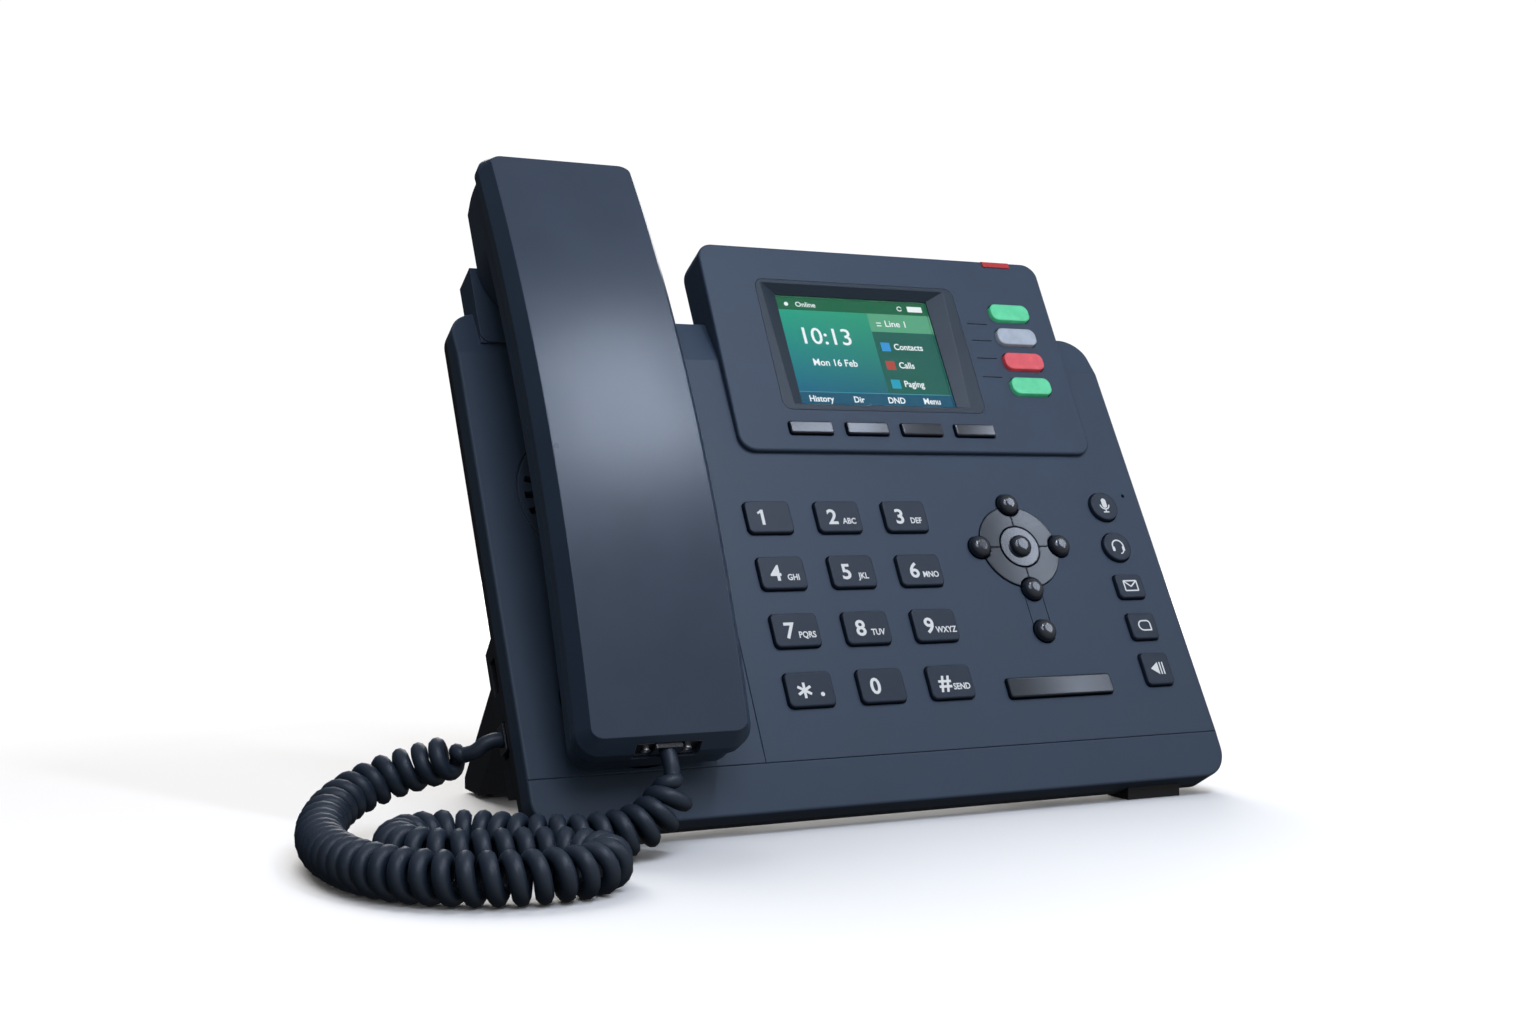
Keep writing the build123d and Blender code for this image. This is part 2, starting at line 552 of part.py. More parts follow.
with BuildPart() as navigation_ring:
    with BuildSketch(panel.offset(-1.6)):
        with Locations(RING_CENTRE):
            Circle(RING_RADIUS - 0.15)
            Circle(OK_RADIUS + CLEARANCE, mode=Mode.SUBTRACT)
        with Locations(*DOME_KEYS.values()):
            Circle(DOME_RADIUS + CLEARANCE, mode=Mode.SUBTRACT)
    extrude(amount=2.1)
    fillet(navigation_ring.faces().sort_by(PANEL_AXIS)[-1].edges(), 0.25)
    # fine lines between the OK key and the four arrow keys
    with BuildSketch(panel.offset(0.5 - GROOVE_DEPTH)):
        with Locations(RING_CENTRE):
            Rectangle(2 * RING_REACH, GROOVE_WIDTH)
            Rectangle(GROOVE_WIDTH, 2 * RING_REACH)
            Circle(OK_RADIUS, mode=Mode.SUBTRACT)
    extrude(amount=1, mode=Mode.SUBTRACT)
finish(navigation_ring, "navigation_ring", GLOSS_COLOUR)

# ---------------------------------------------------------------- inside the base
KEY_BOARD_BACK, KEY_BOARD_THICKNESS = -6.3, 1.1
MAIN_BOARD_BACK, MAIN_BOARD_THICKNESS = -7.8, 1.1

with BuildPart() as key_board:
    with BuildSketch(panel.offset(KEY_BOARD_BACK)):
        with Locations((136.0, 60.5)):
            Rectangle(138.0, 89.0)
        with Locations((136.5, 134.0)):
            Rectangle(111.0, 60.0)
    extrude(amount=KEY_BOARD_THICKNESS)
finish(key_board, "key_board", BOARD_COLOUR)

block("main_board", (129.0, 34.0), (148.0, 36.0), MAIN_BOARD_BACK, MAIN_BOARD_THICKNESS, BOARD_COLOUR)

with BuildPart() as loudspeaker:
    with BuildSketch(panel.offset(-6.6)):
        with Locations(GRILLE_CENTRE):
            Circle(12.0)
    extrude(amount=2.0)
    with BuildSketch(panel.offset(-4.6)):
        with Locations(GRILLE_CENTRE):
            Circle(19.8)
    extrude(amount=2.2)
    with BuildSketch(panel.offset(-3.6)):
        with Locations(GRILLE_CENTRE):
            Circle(17.8)
    extrude(amount=2.0, mode=Mode.SUBTRACT)
finish(loudspeaker, "loudspeaker", DARK_COLOUR)

SOCKET_FRONT = BAY_SHELF + 0.2
SOCKET_BACK_N = -21.4
with BuildPart() as network_sockets:
    for centre_u in (85.0, 103.0):
        with BuildSketch(panel.offset(SOCKET_BACK_N)):
            with Locations((centre_u, SOCKET_FRONT + 7.0)):
                Rectangle(15.4, 14.0)
        extrude(amount=11.2)
        with BuildSketch(panel.offset(SOCKET_BACK_N + 1.6)):
            with Locations((centre_u, SOCKET_FRONT + 5.9)):
                Rectangle(12.0, 12.2)
        extrude(amount=7.0, mode=Mode.SUBTRACT)
finish(network_sockets, "network_sockets", DARK_COLOUR)

with BuildPart() as power_socket:
    with BuildSketch(panel.offset(SOCKET_BACK_N)):
        with Locations((124.0, SOCKET_FRONT + 6.0)):
            Rectangle(9.0, 12.0)
    extrude(amount=10.5)
    bore_plane = Plane(origin=place(124.0, SOCKET_FRONT, SOCKET_BACK_N + 5.2), z_dir=panel.y_dir)
    with BuildSketch(bore_plane):
        Circle(3.1)
        Circle(1.0, mode=Mode.SUBTRACT)
    extrude(amount=10.0, mode=Mode.SUBTRACT)
finish(power_socket, "power_socket", DARK_COLOUR)

SIDE_SOCKET_U = BLOCK_LEFT + WALL + 0.1
SIDE_OPENING = (8.2, 6.0)
with BuildPart() as side_sockets:
    for port in PORT_HEIGHTS.values():
        with BuildSketch(side_plane(SIDE_SOCKET_U)):
            with Locations((port, PORT_N)):
                Rectangle(11.6, 7.2)
        extrude(amount=12.4)
        with BuildSketch(side_plane(SIDE_SOCKET_U)):
            with Locations((port, PORT_N)):
                Rectangle(*SIDE_OPENING)
        extrude(amount=10.4, mode=Mode.SUBTRACT)
finish(side_sockets, "side_sockets", DARK_COLOUR)

HOOK_BASE, HOOK_REST = -6.9, -3.6
with BuildPart() as hook_switch:
    with BuildSketch(panel.offset(HOOK_BASE)):
        with Locations(HOOK_PLACE):
            RectangleRounded(*HOOK_SIZE, 0.4)
    extrude(amount=HOOK_REST - HOOK_BASE)
    fillet(hook_switch.faces().sort_by(PANEL_AXIS)[-1].edges(), 0.3)
finish(hook_switch, "hook_switch", HOUSING_COLOUR)

# ---------------------------------------------------------------- stand, feet and screws
LEG_WIDTH = 12.0
LEG_LEFT, LEG_RIGHT = 12.0, 197.0
PLATE_BOTTOM, PLATE_TOP, PLATE_BACK = 60.0, 82.0, 13.0
STAND_TOUCH = SLAB_DEPTH + 0.1
PAD_HEIGHT = 1.2
FOOT_FRONT, FOOT_BACK, FOOT_TOP = 41.5, 54.5, 7.0


def slab_point(v, n):
    """World (Y, Z) of a place on the panel's side outline."""
    point = place(0, v, n)
    return (point.Y, point.Z)


LEG_OUTLINE = (
    slab_point(PLATE_BOTTOM - 1.5, -STAND_TOUCH),
    slab_point(PLATE_TOP, -STAND_TOUCH),
    slab_point(PLATE_TOP, -PLATE_BACK),
    slab_point(PLATE_TOP - 10, -PLATE_BACK),
    (FOOT_BACK, FOOT_TOP - 2.5),
    (FOOT_BACK, PAD_HEIGHT),
    (FOOT_FRONT, PAD_HEIGHT),
)
world_side = Plane(origin=(-WIDTH / 2 + LEG_LEFT, 0, 0), x_dir=(0, 1, 0), z_dir=(1, 0, 0))

with BuildPart() as stand:
    with BuildSketch(world_side):
        with BuildLine():
            Polyline(*LEG_OUTLINE, close=True)
        make_face()
    extrude(amount=LEG_RIGHT - LEG_LEFT)
    # the middle is open for cables, between the clip plate and the foot bar
    with BuildSketch(world_side.offset(LEG_WIDTH)):
        with BuildLine():
            Polyline(
                slab_point(PLATE_BOTTOM + 1, -STAND_TOUCH + 3),
                slab_point(PLATE_BOTTOM + 1, -PLATE_BACK),
                slab_point(PLATE_TOP - 10, -PLATE_BACK),
                (90, 60),
                (90, FOOT_TOP),
                (FOOT_FRONT - 20, FOOT_TOP),
                close=True,
            )
        make_face()
    extrude(amount=LEG_RIGHT - LEG_LEFT - 2 * LEG_WIDTH, mode=Mode.SUBTRACT)
    # clips that reach through the rear cover
    with BuildSketch(panel.offset(-STAND_TOUCH)):
        for clip_u in STAND_CLIPS_U:
            with Locations((clip_u, STAND_SLOT_V)):
                Rectangle(*STAND_SLOT)
    extrude(amount=1.9)
finish(stand, "stand", HOUSING_COLOUR)

STAND_PAD_U = (25.0, 184.0)
FRONT_PAD_U = (24.0, 185.0)
FRONT_PAD_WIDTH = 18.0
with BuildPart() as rubber_feet:
    with BuildSketch(Plane.XY):
        for pad_u in STAND_PAD_U:
            with Locations((pad_u - WIDTH / 2, (FOOT_FRONT + FOOT_BACK) / 2)):
                RectangleRounded(18.0, 9.0, 2.0)
    extrude(amount=PAD_HEIGHT)
    for pad_u in FRONT_PAD_U:
        pad_left = pad_u - (WIDTH + FRONT_PAD_WIDTH) / 2
        with BuildSketch(Plane(origin=(pad_left, 0, 0), x_dir=(0, 1, 0), z_dir=(1, 0, 0))):
            with BuildLine():
                Polyline(
                    (slab_point(0, -5)[0], 0),
                    slab_point(-0.05, -5),
                    slab_point(-0.05, -SLAB_DEPTH - 0.05),
                    slab_point(5, -SLAB_DEPTH - 0.05),
                    (slab_point(5, -SLAB_DEPTH - 3)[0], 0),
                    close=True,
                )
            make_face()
        extrude(amount=FRONT_PAD_WIDTH)
finish(rubber_feet, "rubber_feet", DARK_COLOUR)

with BuildPart() as housing_screws:
    with BuildSketch(panel.offset(-SLAB_DEPTH - 1.8)):
        with Locations(*SCREW_PLACES):
            Circle(2.7)
    extrude(amount=1.7)
    with BuildSketch(panel.offset(-SLAB_DEPTH - 0.2)):
        with Locations(*SCREW_PLACES):
            Circle(1.4)
    extrude(amount=6.2)
    with BuildSketch(panel.offset(-SLAB_DEPTH - 1.9)):
        with Locations(*SCREW_PLACES):
            Rectangle(3.2, 0.7)
            Rectangle(0.7, 3.2)
    extrude(amount=1.0, mode=Mode.SUBTRACT)
finish(housing_screws, "housing_screws", STEEL_COLOUR)

# ---------------------------------------------------------------- handset
FACE_CHAMFER, FACE_CHAMFER_DEPTH = 4.2, 2.8
OUTER_DEPTH, INNER_DEPTH = 7.5, 15.0
HANDSET_WALL = 2.2
HOLLOW_WIDTH = 38.5
HANDSET_CORNER = 6.0
INNER_INSET = 1.4
EXIT_N = 15.0
BULB_FLOOR = -3.2


def crest(v, depth=0.0):
    """Height of the handset's outer face at v, less a depth below it."""
    return CREST_N - (v - CREST_V) ** 2 / (2 * CREST_RADIUS) - depth


def crest_arc(bottom, top, depth):
    """Arc along the handset, a given depth below its outer face."""
    return ThreePointArc((bottom, crest(bottom, depth)), (CREST_V, CREST_N - depth), (top, crest(top, depth)))


def handset_band(bottom, top, outer, inner, width):
    """Solid band of the handset between two depths below its outer face."""
    with BuildPart() as band:
        with BuildSketch(side_plane(HANDSET_U - width / 2)):
            with BuildLine():
                crest_arc(bottom, top, outer)
                Line((top, crest(top, outer)), (top, crest(top, inner)))
                crest_arc(bottom, top, inner)
                Line((bottom, crest(bottom, inner)), (bottom, crest(bottom, outer)))
            make_face()
        extrude(amount=width)
    return band.part


handset_length = HANDSET_TOP - HANDSET_BOTTOM
handset_middle = (HANDSET_U, (HANDSET_TOP + HANDSET_BOTTOM) / 2)

with BuildPart() as handset_outer_shell:
    add(handset_band(HANDSET_BOTTOM, HANDSET_TOP, 0, OUTER_DEPTH, HANDSET_WIDTH))
    with BuildSketch(panel):
        with Locations(handset_middle):
            RectangleRounded(HANDSET_WIDTH, handset_length, HANDSET_CORNER)
    extrude(amount=FAR, mode=Mode.INTERSECT)
    outer_face = handset_outer_shell.faces().filter_by(GeomType.CYLINDER).sort_by(SortBy.AREA)[-2:]
    top_face = outer_face.sort_by(PANEL_AXIS)[-1]
    chamfer(top_face.edges(), length=FACE_CHAMFER_DEPTH, length2=FACE_CHAMFER, reference=top_face)
    cavity = handset_band(
        HANDSET_BOTTOM + 3.4, HANDSET_TOP - HANDSET_WALL, HANDSET_WALL, OUTER_DEPTH + 1, HOLLOW_WIDTH
    )
    add(cavity, mode=Mode.SUBTRACT)
    # cord recess in the lower end, with the plug's opening in its floor
    end_plane = Plane(origin=place(HANDSET_U, HANDSET_BOTTOM, EXIT_N), x_dir=(1, 0, 0), z_dir=-panel.y_dir)
    with BuildSketch(end_plane):
        RectangleRounded(17.0, 6.0, 0.8)
    extrude(amount=-1.6, mode=Mode.SUBTRACT)
    with BuildSketch(end_plane):
        Rectangle(7.8, 5.0)
    extrude(amount=-5.0, mode=Mode.SUBTRACT)
    with BuildSketch(end_plane):
        with Locations((-5.4, 0), (5.4, 0)):
            Circle(0.9)
    extrude(amount=-3.2, mode=Mode.SUBTRACT)
finish(handset_outer_shell, "handset_outer_shell", HOUSING_COLOUR)

EAR_BLOCK_FLOOR = 1.3
SLOPE_TOP_N, SLOPE_FOOT_V = 14.6, 177.0
EAR_BULB, MOUTH_BULB = EAR_RADIUS - 0.9, MOUTH_RADIUS - 0.9
with BuildPart() as handset_inner_shell:
    inner_width = HANDSET_WIDTH - 2 * INNER_INSET
    add(handset_band(HANDSET_BOTTOM + 0.8, HANDSET_TOP - 0.8, OUTER_DEPTH + 0.1, INNER_DEPTH, inner_width))
    # the ear bulb goes down into its cup, and above the tower it is as wide as the shell
    for floor, radius in ((BULB_FLOOR, EAR_BULB), (EAR_BLOCK_FLOOR, inner_width / 2)):
        with BuildSketch(panel.offset(floor)):
            with Locations((HANDSET_U, EAR_V)):
                Circle(radius)
            with Locations((HANDSET_U, (EAR_V + HANDSET_TOP) / 2)):
                Rectangle(2 * radius, HANDSET_TOP - EAR_V)
        extrude(amount=crest(EAR_V, INNER_DEPTH) - floor + 1.0)
    with BuildSketch(panel.offset(BULB_FLOOR)):
        with Locations((HANDSET_U, MOUTH_V)):
            Circle(MOUTH_BULB)
    extrude(amount=crest(MOUTH_V, INNER_DEPTH) - BULB_FLOOR + 1.0)
    with BuildSketch(panel.offset(-5)):
        with Locations(handset_middle):
            RectangleRounded(inner_width, handset_length - 1.6, HANDSET_CORNER - 1)
    extrude(amount=FAR, mode=Mode.INTERSECT)
    # the top end slopes back from the parting line to the ear bulb
    with BuildSketch(side_plane(0)):
        with BuildLine():
            Polyline(
                (HANDSET_TOP - 0.8, SLOPE_TOP_N),
                (SLOPE_FOOT_V, BULB_FLOOR - 0.5),
                (200, BULB_FLOOR - 0.5),
                (200, SLOPE_TOP_N),
                close=True,
            )
        make_face()
    extrude(amount=WIDTH / 2, mode=Mode.SUBTRACT)
    # hollow: the grip and the two bulbs
    hollow = handset_band(
        HANDSET_BOTTOM + 3.8, HANDSET_TOP - 8.5, OUTER_DEPTH - 1, INNER_DEPTH - HANDSET_WALL, HOLLOW_WIDTH
    )
    add(hollow, mode=Mode.SUBTRACT)
    with BuildSketch(panel.offset(BULB_FLOOR + 1.6)):
        with Locations((HANDSET_U, EAR_V)):
            Circle(EAR_BULB - 3.0)
        with Locations((HANDSET_U, MOUTH_V)):
            Circle(MOUTH_BULB - 3.0)
    extrude(amount=10.0, mode=Mode.SUBTRACT)
    # sound holes towards ear and mouth
    with BuildSketch(panel.offset(BULB_FLOOR - 1)):
        with Locations((HANDSET_U, EAR_V)):
            Circle(0.9)
            with PolarLocations(5.0, 6):
                Circle(0.9)
        with Locations((HANDSET_U, MOUTH_V)):
            with GridLocations(3.4, 3.4, 3, 1):
                Circle(0.8)
    extrude(amount=3.5, mode=Mode.SUBTRACT)
finish(handset_inner_shell, "handset_inner_shell", HOUSING_COLOUR)

with BuildPart() as handset_receiver:
    with BuildSketch(panel.offset(BULB_FLOOR + 1.8)):
        with Locations((HANDSET_U, EAR_V)):
            Circle(15.0)
    extrude(amount=5.5)
    with BuildSketch(panel.offset(BULB_FLOOR + 7.3)):
        with Locations((HANDSET_U, EAR_V)):
            Circle(9.0)
    extrude(amount=3.0)
finish(handset_receiver, "handset_receiver", DARK_COLOUR)

with BuildPart() as handset_microphone:
    with BuildSketch(panel.offset(BULB_FLOOR + 1.8)):
        with Locations((HANDSET_U, MOUTH_V)):
            Circle(4.9)
    extrude(amount=5.0)
finish(handset_microphone, "handset_microphone", STEEL_COLOUR)

with BuildPart() as handset_screws:
    with BuildSketch(end_plane.offset(-1.5)):
        with Locations((-5.4, 0), (5.4, 0)):
            Circle(1.15)
    extrude(amount=0.9)
    with BuildSketch(end_plane.offset(-3.0)):
        with Locations((-5.4, 0), (5.4, 0)):
            Circle(0.8)
    extrude(amount=1.6)
    with BuildSketch(end_plane.offset(-0.9)):
        with Locations((-5.4, 0), (5.4, 0)):
            RegularPolygon(0.55, 6)
    extrude(amount=0.4, mode=Mode.SUBTRACT)
finish(handset_screws, "handset_screws", STEEL_COLOUR)

# ---------------------------------------------------------------- handset cord
# Centre line of the coil, from the port on the left, round on the desk and up to the handset.
COIL_ROUTE = [
    (-113.5, -17.0, 21.5),
    (-121.0, -11.0, 19.0),
    (-130.0, -7.0, 16.0),
    (-139.5, -8.0, 12.5),
    (-147.0, -15.5, 9.5),
    (-151.5, -26.0, 7.2),
    (-153.5, -38.5, 6.0),
    (-153.8, -52.0, 6.0),
    (-151.5, -66.0, 6.0),
    (-145.5, -78.0, 6.0),
    (-136.0, -87.0, 6.0),
    (-124.5, -91.5, 6.0),
    (-113.5, -92.3, 6.0),
    (-104.0, -89.0, 6.0),
    (-100.0, -80.5, 6.0),
    (-104.0, -71.5, 6.0),
    (-113.5, -67.5, 6.0),
    (-124.5, -64.5, 6.0),
    (-134.5, -59.5, 6.0),
    (-139.5, -49.5, 6.0),
    (-136.0, -39.5, 6.0),
    (-126.5, -36.5, 6.0),
    (-116.5, -41.5, 6.0),
    (-109.5, -51.0, 6.0),
    (-99.5, -56.6, 6.0),
    (-88.5, -58.4, 6.4),
    (-79.8, -57.6, 9.4),
    (-75.0, -56.2, 14.0),
    (-73.8, -54.4, 19.1),
]
ARC_SHARE = 0.45


def corner_radii(route):
    """Largest tangent arc at each inner point that its two runs allow."""
    radii = []
    for before, corner, after in zip(route, route[1:], route[2:]):
        first, second = Vector(*corner) - Vector(*before), Vector(*after) - Vector(*corner)
        half_turn = radians(first.get_angle(second)) / 2
        radii.append(ARC_SHARE * min(first.length, second.length) / tan(half_turn))
    return radii


def tube(name, route, diameter, colour):
    """Round tube along straight runs joined by tangent arcs."""
    radii = corner_radii(route)
    print(name, "radii", [round(radius, 1) for radius in radii])
    with BuildPart() as piece:
        with BuildLine() as path:
            FilletPolyline(*route, radius=radii)
        with BuildSketch(path.line ^ 0):
            Circle(diameter / 2)
        sweep()
    length = path.wires()[0].length
    ideal = pi * diameter**2 / 4 * length
    print(name, "length", round(length, 1), "volume share", round(piece.part.volume / ideal, 4))
    return finish(piece, name, colour)


tube("cord_coil", COIL_ROUTE, COIL, DARK_COLOUR)

BASE_PLUG_FACE = place(-0.4, PORT_HEIGHTS["handset"], PORT_N)
COIL_START = (Vector(*COIL_ROUTE[1]) - Vector(*COIL_ROUTE[0])).normalized()
COIL_END = (Vector(*COIL_ROUTE[-1]) - Vector(*COIL_ROUTE[-2])).normalized()
LEAD_BASE_ROUTE = [
    tuple(BASE_PLUG_FACE),
    tuple(BASE_PLUG_FACE + Vector(-3.6, 0, 0)),
    tuple(Vector(*COIL_ROUTE[0]) - 3.0 * COIL_START),
    COIL_ROUTE[0],
]
tube("cord_lead_base", LEAD_BASE_ROUTE, WIRE, DARK_COLOUR)

HANDSET_PLUG_FACE = place(HANDSET_U, HANDSET_BOTTOM + 0.4, EXIT_N)
LEAD_HANDSET_ROUTE = [
    tuple(HANDSET_PLUG_FACE),
    tuple(HANDSET_PLUG_FACE - 2.4 * panel.y_dir),
    tuple(Vector(*COIL_ROUTE[-1]) + 2.2 * COIL_END),
    tuple(Vector(*COIL_ROUTE[-1]) + 0.3 * COIL_END),
]
tube("cord_lead_handset", LEAD_HANDSET_ROUTE, WIRE, DARK_COLOUR)

PLUG_SIZE, PLUG_LENGTH = (7.4, 4.8), 10.0
with BuildPart() as cord_plug_base:
    with BuildSketch(side_plane(-0.4)):
        with Locations((PORT_HEIGHTS["handset"], PORT_N)):
            RectangleRounded(*PLUG_SIZE, 0.6)
    extrude(amount=PLUG_LENGTH)
finish(cord_plug_base, "cord_plug_base", DARK_COLOUR)

with BuildPart() as cord_plug_handset:
    with BuildSketch(end_plane.offset(-0.4)):
        RectangleRounded(*PLUG_SIZE, 0.6)
    extrude(amount=-PLUG_LENGTH)
finish(cord_plug_handset, "cord_plug_handset", DARK_COLOUR)
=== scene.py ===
"""Finishes, prints, screen picture and curly cord of a desk telephone.

Positions on the sloping key panel are written in millimetres in the panel's own coordinates:
u along the width from the left end, v up the slope from the front edge, n out of the face.
place() and PANEL turn them into metres.  Everything else is in metres.
"""

import math

import bmesh
import bpy
from mathutils import Matrix, Vector


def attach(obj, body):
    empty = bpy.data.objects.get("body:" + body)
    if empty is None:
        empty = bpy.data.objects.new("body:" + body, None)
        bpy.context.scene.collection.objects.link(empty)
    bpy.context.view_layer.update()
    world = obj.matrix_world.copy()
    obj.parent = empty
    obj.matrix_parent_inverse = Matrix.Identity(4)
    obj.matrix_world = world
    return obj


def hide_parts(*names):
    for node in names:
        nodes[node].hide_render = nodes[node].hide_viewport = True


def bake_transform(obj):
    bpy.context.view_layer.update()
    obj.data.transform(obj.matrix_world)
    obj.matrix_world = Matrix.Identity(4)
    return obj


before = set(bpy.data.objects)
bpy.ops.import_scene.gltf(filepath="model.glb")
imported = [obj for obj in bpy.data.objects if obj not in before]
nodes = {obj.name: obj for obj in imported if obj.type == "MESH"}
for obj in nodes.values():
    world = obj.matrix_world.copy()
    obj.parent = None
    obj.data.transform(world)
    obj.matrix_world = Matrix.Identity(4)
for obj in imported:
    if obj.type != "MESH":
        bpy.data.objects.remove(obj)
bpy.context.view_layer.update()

MM = 0.001
scene = bpy.context.scene

# ---------------------------------------------------------------- panel coordinates
TILT = math.radians(61.3)
PANEL_CORNER = Vector((-0.1045, -0.0439, 0.006))
ALONG = Vector((1, 0, 0))
UPHILL = Vector((0, math.cos(TILT), math.sin(TILT)))
OUTWARD = Vector((0, -math.sin(TILT), math.cos(TILT)))
PANEL_AXES = Matrix((ALONG, UPHILL, OUTWARD)).transposed().to_4x4()
PANEL = Matrix.Translation(PANEL_CORNER) @ PANEL_AXES @ Matrix.Scale(MM, 4)
PANEL_FROM_WORLD = PANEL.inverted()


def place(u, v, n=0.0):
    """Point in metres, where all pieces lie, for a place on the panel in millimetres."""
    return PANEL @ Vector((u, v, n))


def panel_box(node):
    """Lowest and highest (u, v, n) of a node, in millimetres."""
    points = [PANEL_FROM_WORLD @ vertex.co for vertex in nodes[node].data.vertices]
    low = Vector([min(point[axis] for point in points) for axis in range(3)])
    high = Vector([max(point[axis] for point in points) for axis in range(3)])
    return low, high


def key_top(node):
    """Middle of a key's cap on the panel: (u, v, n), with n at its highest."""
    low, high = panel_box(node)
    return Vector(((low.x + high.x) / 2, (low.y + high.y) / 2, high.z))


# ---------------------------------------------------------------- camera and studio
CAMERA_PLACE = (-0.24357, -0.45439, 0.08592)
CAMERA_DOWN = math.radians(0.5515)
CAMERA_TURN = math.radians(-26.006)
LENS_LENGTH, SENSOR_WIDTH = 42.66, 36.0
NEAREST_SEEN, FARTHEST_SEEN = 0.01, 50.0

camera_data = bpy.data.cameras.new("camera")
camera_data.lens = LENS_LENGTH
camera_data.sensor_width = SENSOR_WIDTH
camera_data.clip_start = NEAREST_SEEN
camera_data.clip_end = FARTHEST_SEEN
camera = bpy.data.objects.new("camera", camera_data)
camera.location = CAMERA_PLACE
camera.rotation_euler = (math.pi / 2 - CAMERA_DOWN, 0.0, CAMERA_TURN)
scene.collection.objects.link(camera)
scene.camera = camera
scene.view_settings.view_transform = "Standard"


def mirrored_spot(target, distance):
    """Spot from which a light shows in the panel's gloss at target."""
    sight = (Vector(CAMERA_PLACE) - target).normalized()
    return target + (2 * sight.dot(OUTWARD) * OUTWARD - sight) * distance


SKY_TINT = (0.72, 0.82, 1.0)


def softbox(name, spot, target, width, height, power, tint=SKY_TINT):
    """Rectangular area light at spot that looks at target, its height running up the panel."""
    data = bpy.data.lights.new(name, "AREA")
    data.shape = "RECTANGLE"
    data.size = width
    data.size_y = height
    data.energy = power
    data.color = tint
    backward = (Vector(spot) - target).normalized()
    sideways = UPHILL.cross(backward).normalized()
    axes = Matrix((sideways, backward.cross(sideways), backward)).transposed().to_4x4()
    lamp = bpy.data.objects.new(name, data)
    lamp.matrix_world = Matrix.Translation(spot) @ axes
    scene.collection.objects.link(lamp)
    return lamp


HANDSET_MIDDLE = place(31.5, 98, 29)
RING_RIGHT = place(167, 50, 3)
LEFT_SOFT_KEYS = place(101, 107, 9)
PANEL_MIDDLE = place(80, 80, 0)
REAR_MIDDLE = place(104, 60, -20)
OVER_HANDSET = mirrored_spot(HANDSET_MIDDLE, 0.40)
OVER_RING = mirrored_spot(RING_RIGHT, 0.50)
OVER_SOFT_KEYS = mirrored_spot(LEFT_SOFT_KEYS, 0.50)
BEFORE_PANEL = (-0.12, -0.52, 0.62)
BEHIND_PHONE = (0.50, 1.10, 0.50)
WHITE = (1, 1, 1)
softbox("softbox_handset", OVER_HANDSET, HANDSET_MIDDLE, width=0.02, height=0.13, power=0.50)
softbox("softbox_ring", OVER_RING, RING_RIGHT, width=0.022, height=0.24, power=0.24)
softbox("softbox_soft_keys", OVER_SOFT_KEYS, LEFT_SOFT_KEYS, width=0.075, height=0.03, power=0.09)
softbox("softbox_front", BEFORE_PANEL, PANEL_MIDDLE, width=0.35, height=0.35, power=1.9)
softbox("softbox_rear", BEHIND_PHONE, REAR_MIDDLE, width=0.80, height=0.80, power=5.0, tint=WHITE)

OVERHEAD_STRENGTH = 2.3
OVERHEAD_SPREAD = math.radians(42)
OVERHEAD_LEAN = (math.radians(-42), math.radians(-2), 0)


def light_overhead():
    """Wide soft light from above that leaves no highlight of its own."""
    data = bpy.data.lights.new("overhead", "SUN")
    data.energy = OVERHEAD_STRENGTH
    data.angle = OVERHEAD_SPREAD
    lamp = bpy.data.objects.new("overhead", data)
    lamp.rotation_euler = OVERHEAD_LEAN
    lamp.visible_glossy = False
    scene.collection.objects.link(lamp)


light_overhead()

SHADED_SIDE, LIT_SIDE, BACKDROP = 0.03, 0.60, 1.03
LIT_DIRECTION = Vector((0.40, -0.70, 0.60)).normalized()
SHADE_BEGINS = -0.35


def make_studio():
    """White surroundings that the camera sees evenly, and that light the phone mostly from one side."""
    world = bpy.data.worlds.new("studio")
    scene.world = world
    world.use_nodes = True
    tree = world.node_tree
    background = tree.nodes["Background"]
    background.inputs["Color"].default_value = (1, 1, 1, 1)
    direction = tree.nodes.new("ShaderNodeTexCoord")
    toward = tree.nodes.new("ShaderNodeVectorMath")
    toward.operation = "DOT_PRODUCT"
    toward.inputs[1].default_value = LIT_DIRECTION
    tree.links.new(direction.outputs["Generated"], toward.inputs[0])
    ambient = tree.nodes.new("ShaderNodeMapRange")
    ambient.inputs["From Min"].default_value = SHADE_BEGINS
    ambient.inputs["From Max"].default_value = 1.0
    ambient.inputs["To Min"].default_value = SHADED_SIDE
    ambient.inputs["To Max"].default_value = LIT_SIDE
    tree.links.new(toward.outputs["Value"], ambient.inputs["Value"])
    seen = tree.nodes.new("ShaderNodeLightPath")
    strength = tree.nodes.new("ShaderNodeMix")
    strength.inputs["B"].default_value = BACKDROP
    tree.links.new(seen.outputs["Is Camera Ray"], strength.inputs["Factor"])
    tree.links.new(ambient.outputs["Result"], strength.inputs["A"])
    tree.links.new(strength.outputs["Result"], background.inputs["Strength"])


make_studio()


# ---------------------------------------------------------------- shared shader effects
def new_group(name, inputs, outputs):
    """Empty shader group with named float inputs (name, value) and outputs (name, type)."""
    group = bpy.data.node_groups.new(name, "ShaderNodeTree")
    for label, value in inputs:
        socket = group.interface.new_socket(label, in_out="INPUT", socket_type="NodeSocketFloat")
        socket.default_value = value
    for label, kind in outputs:
        group.interface.new_socket(label, in_out="OUTPUT", socket_type=kind)
    entry = group.nodes.new("NodeGroupInput")
    leave = group.nodes.new("NodeGroupOutput")
    return group, entry, leave


def wire(tree, source, target):
    """Links an output to an input, each given as (node, socket name or number)."""
    tree.links.new(source[0].outputs[source[1]], target[0].inputs[target[1]])


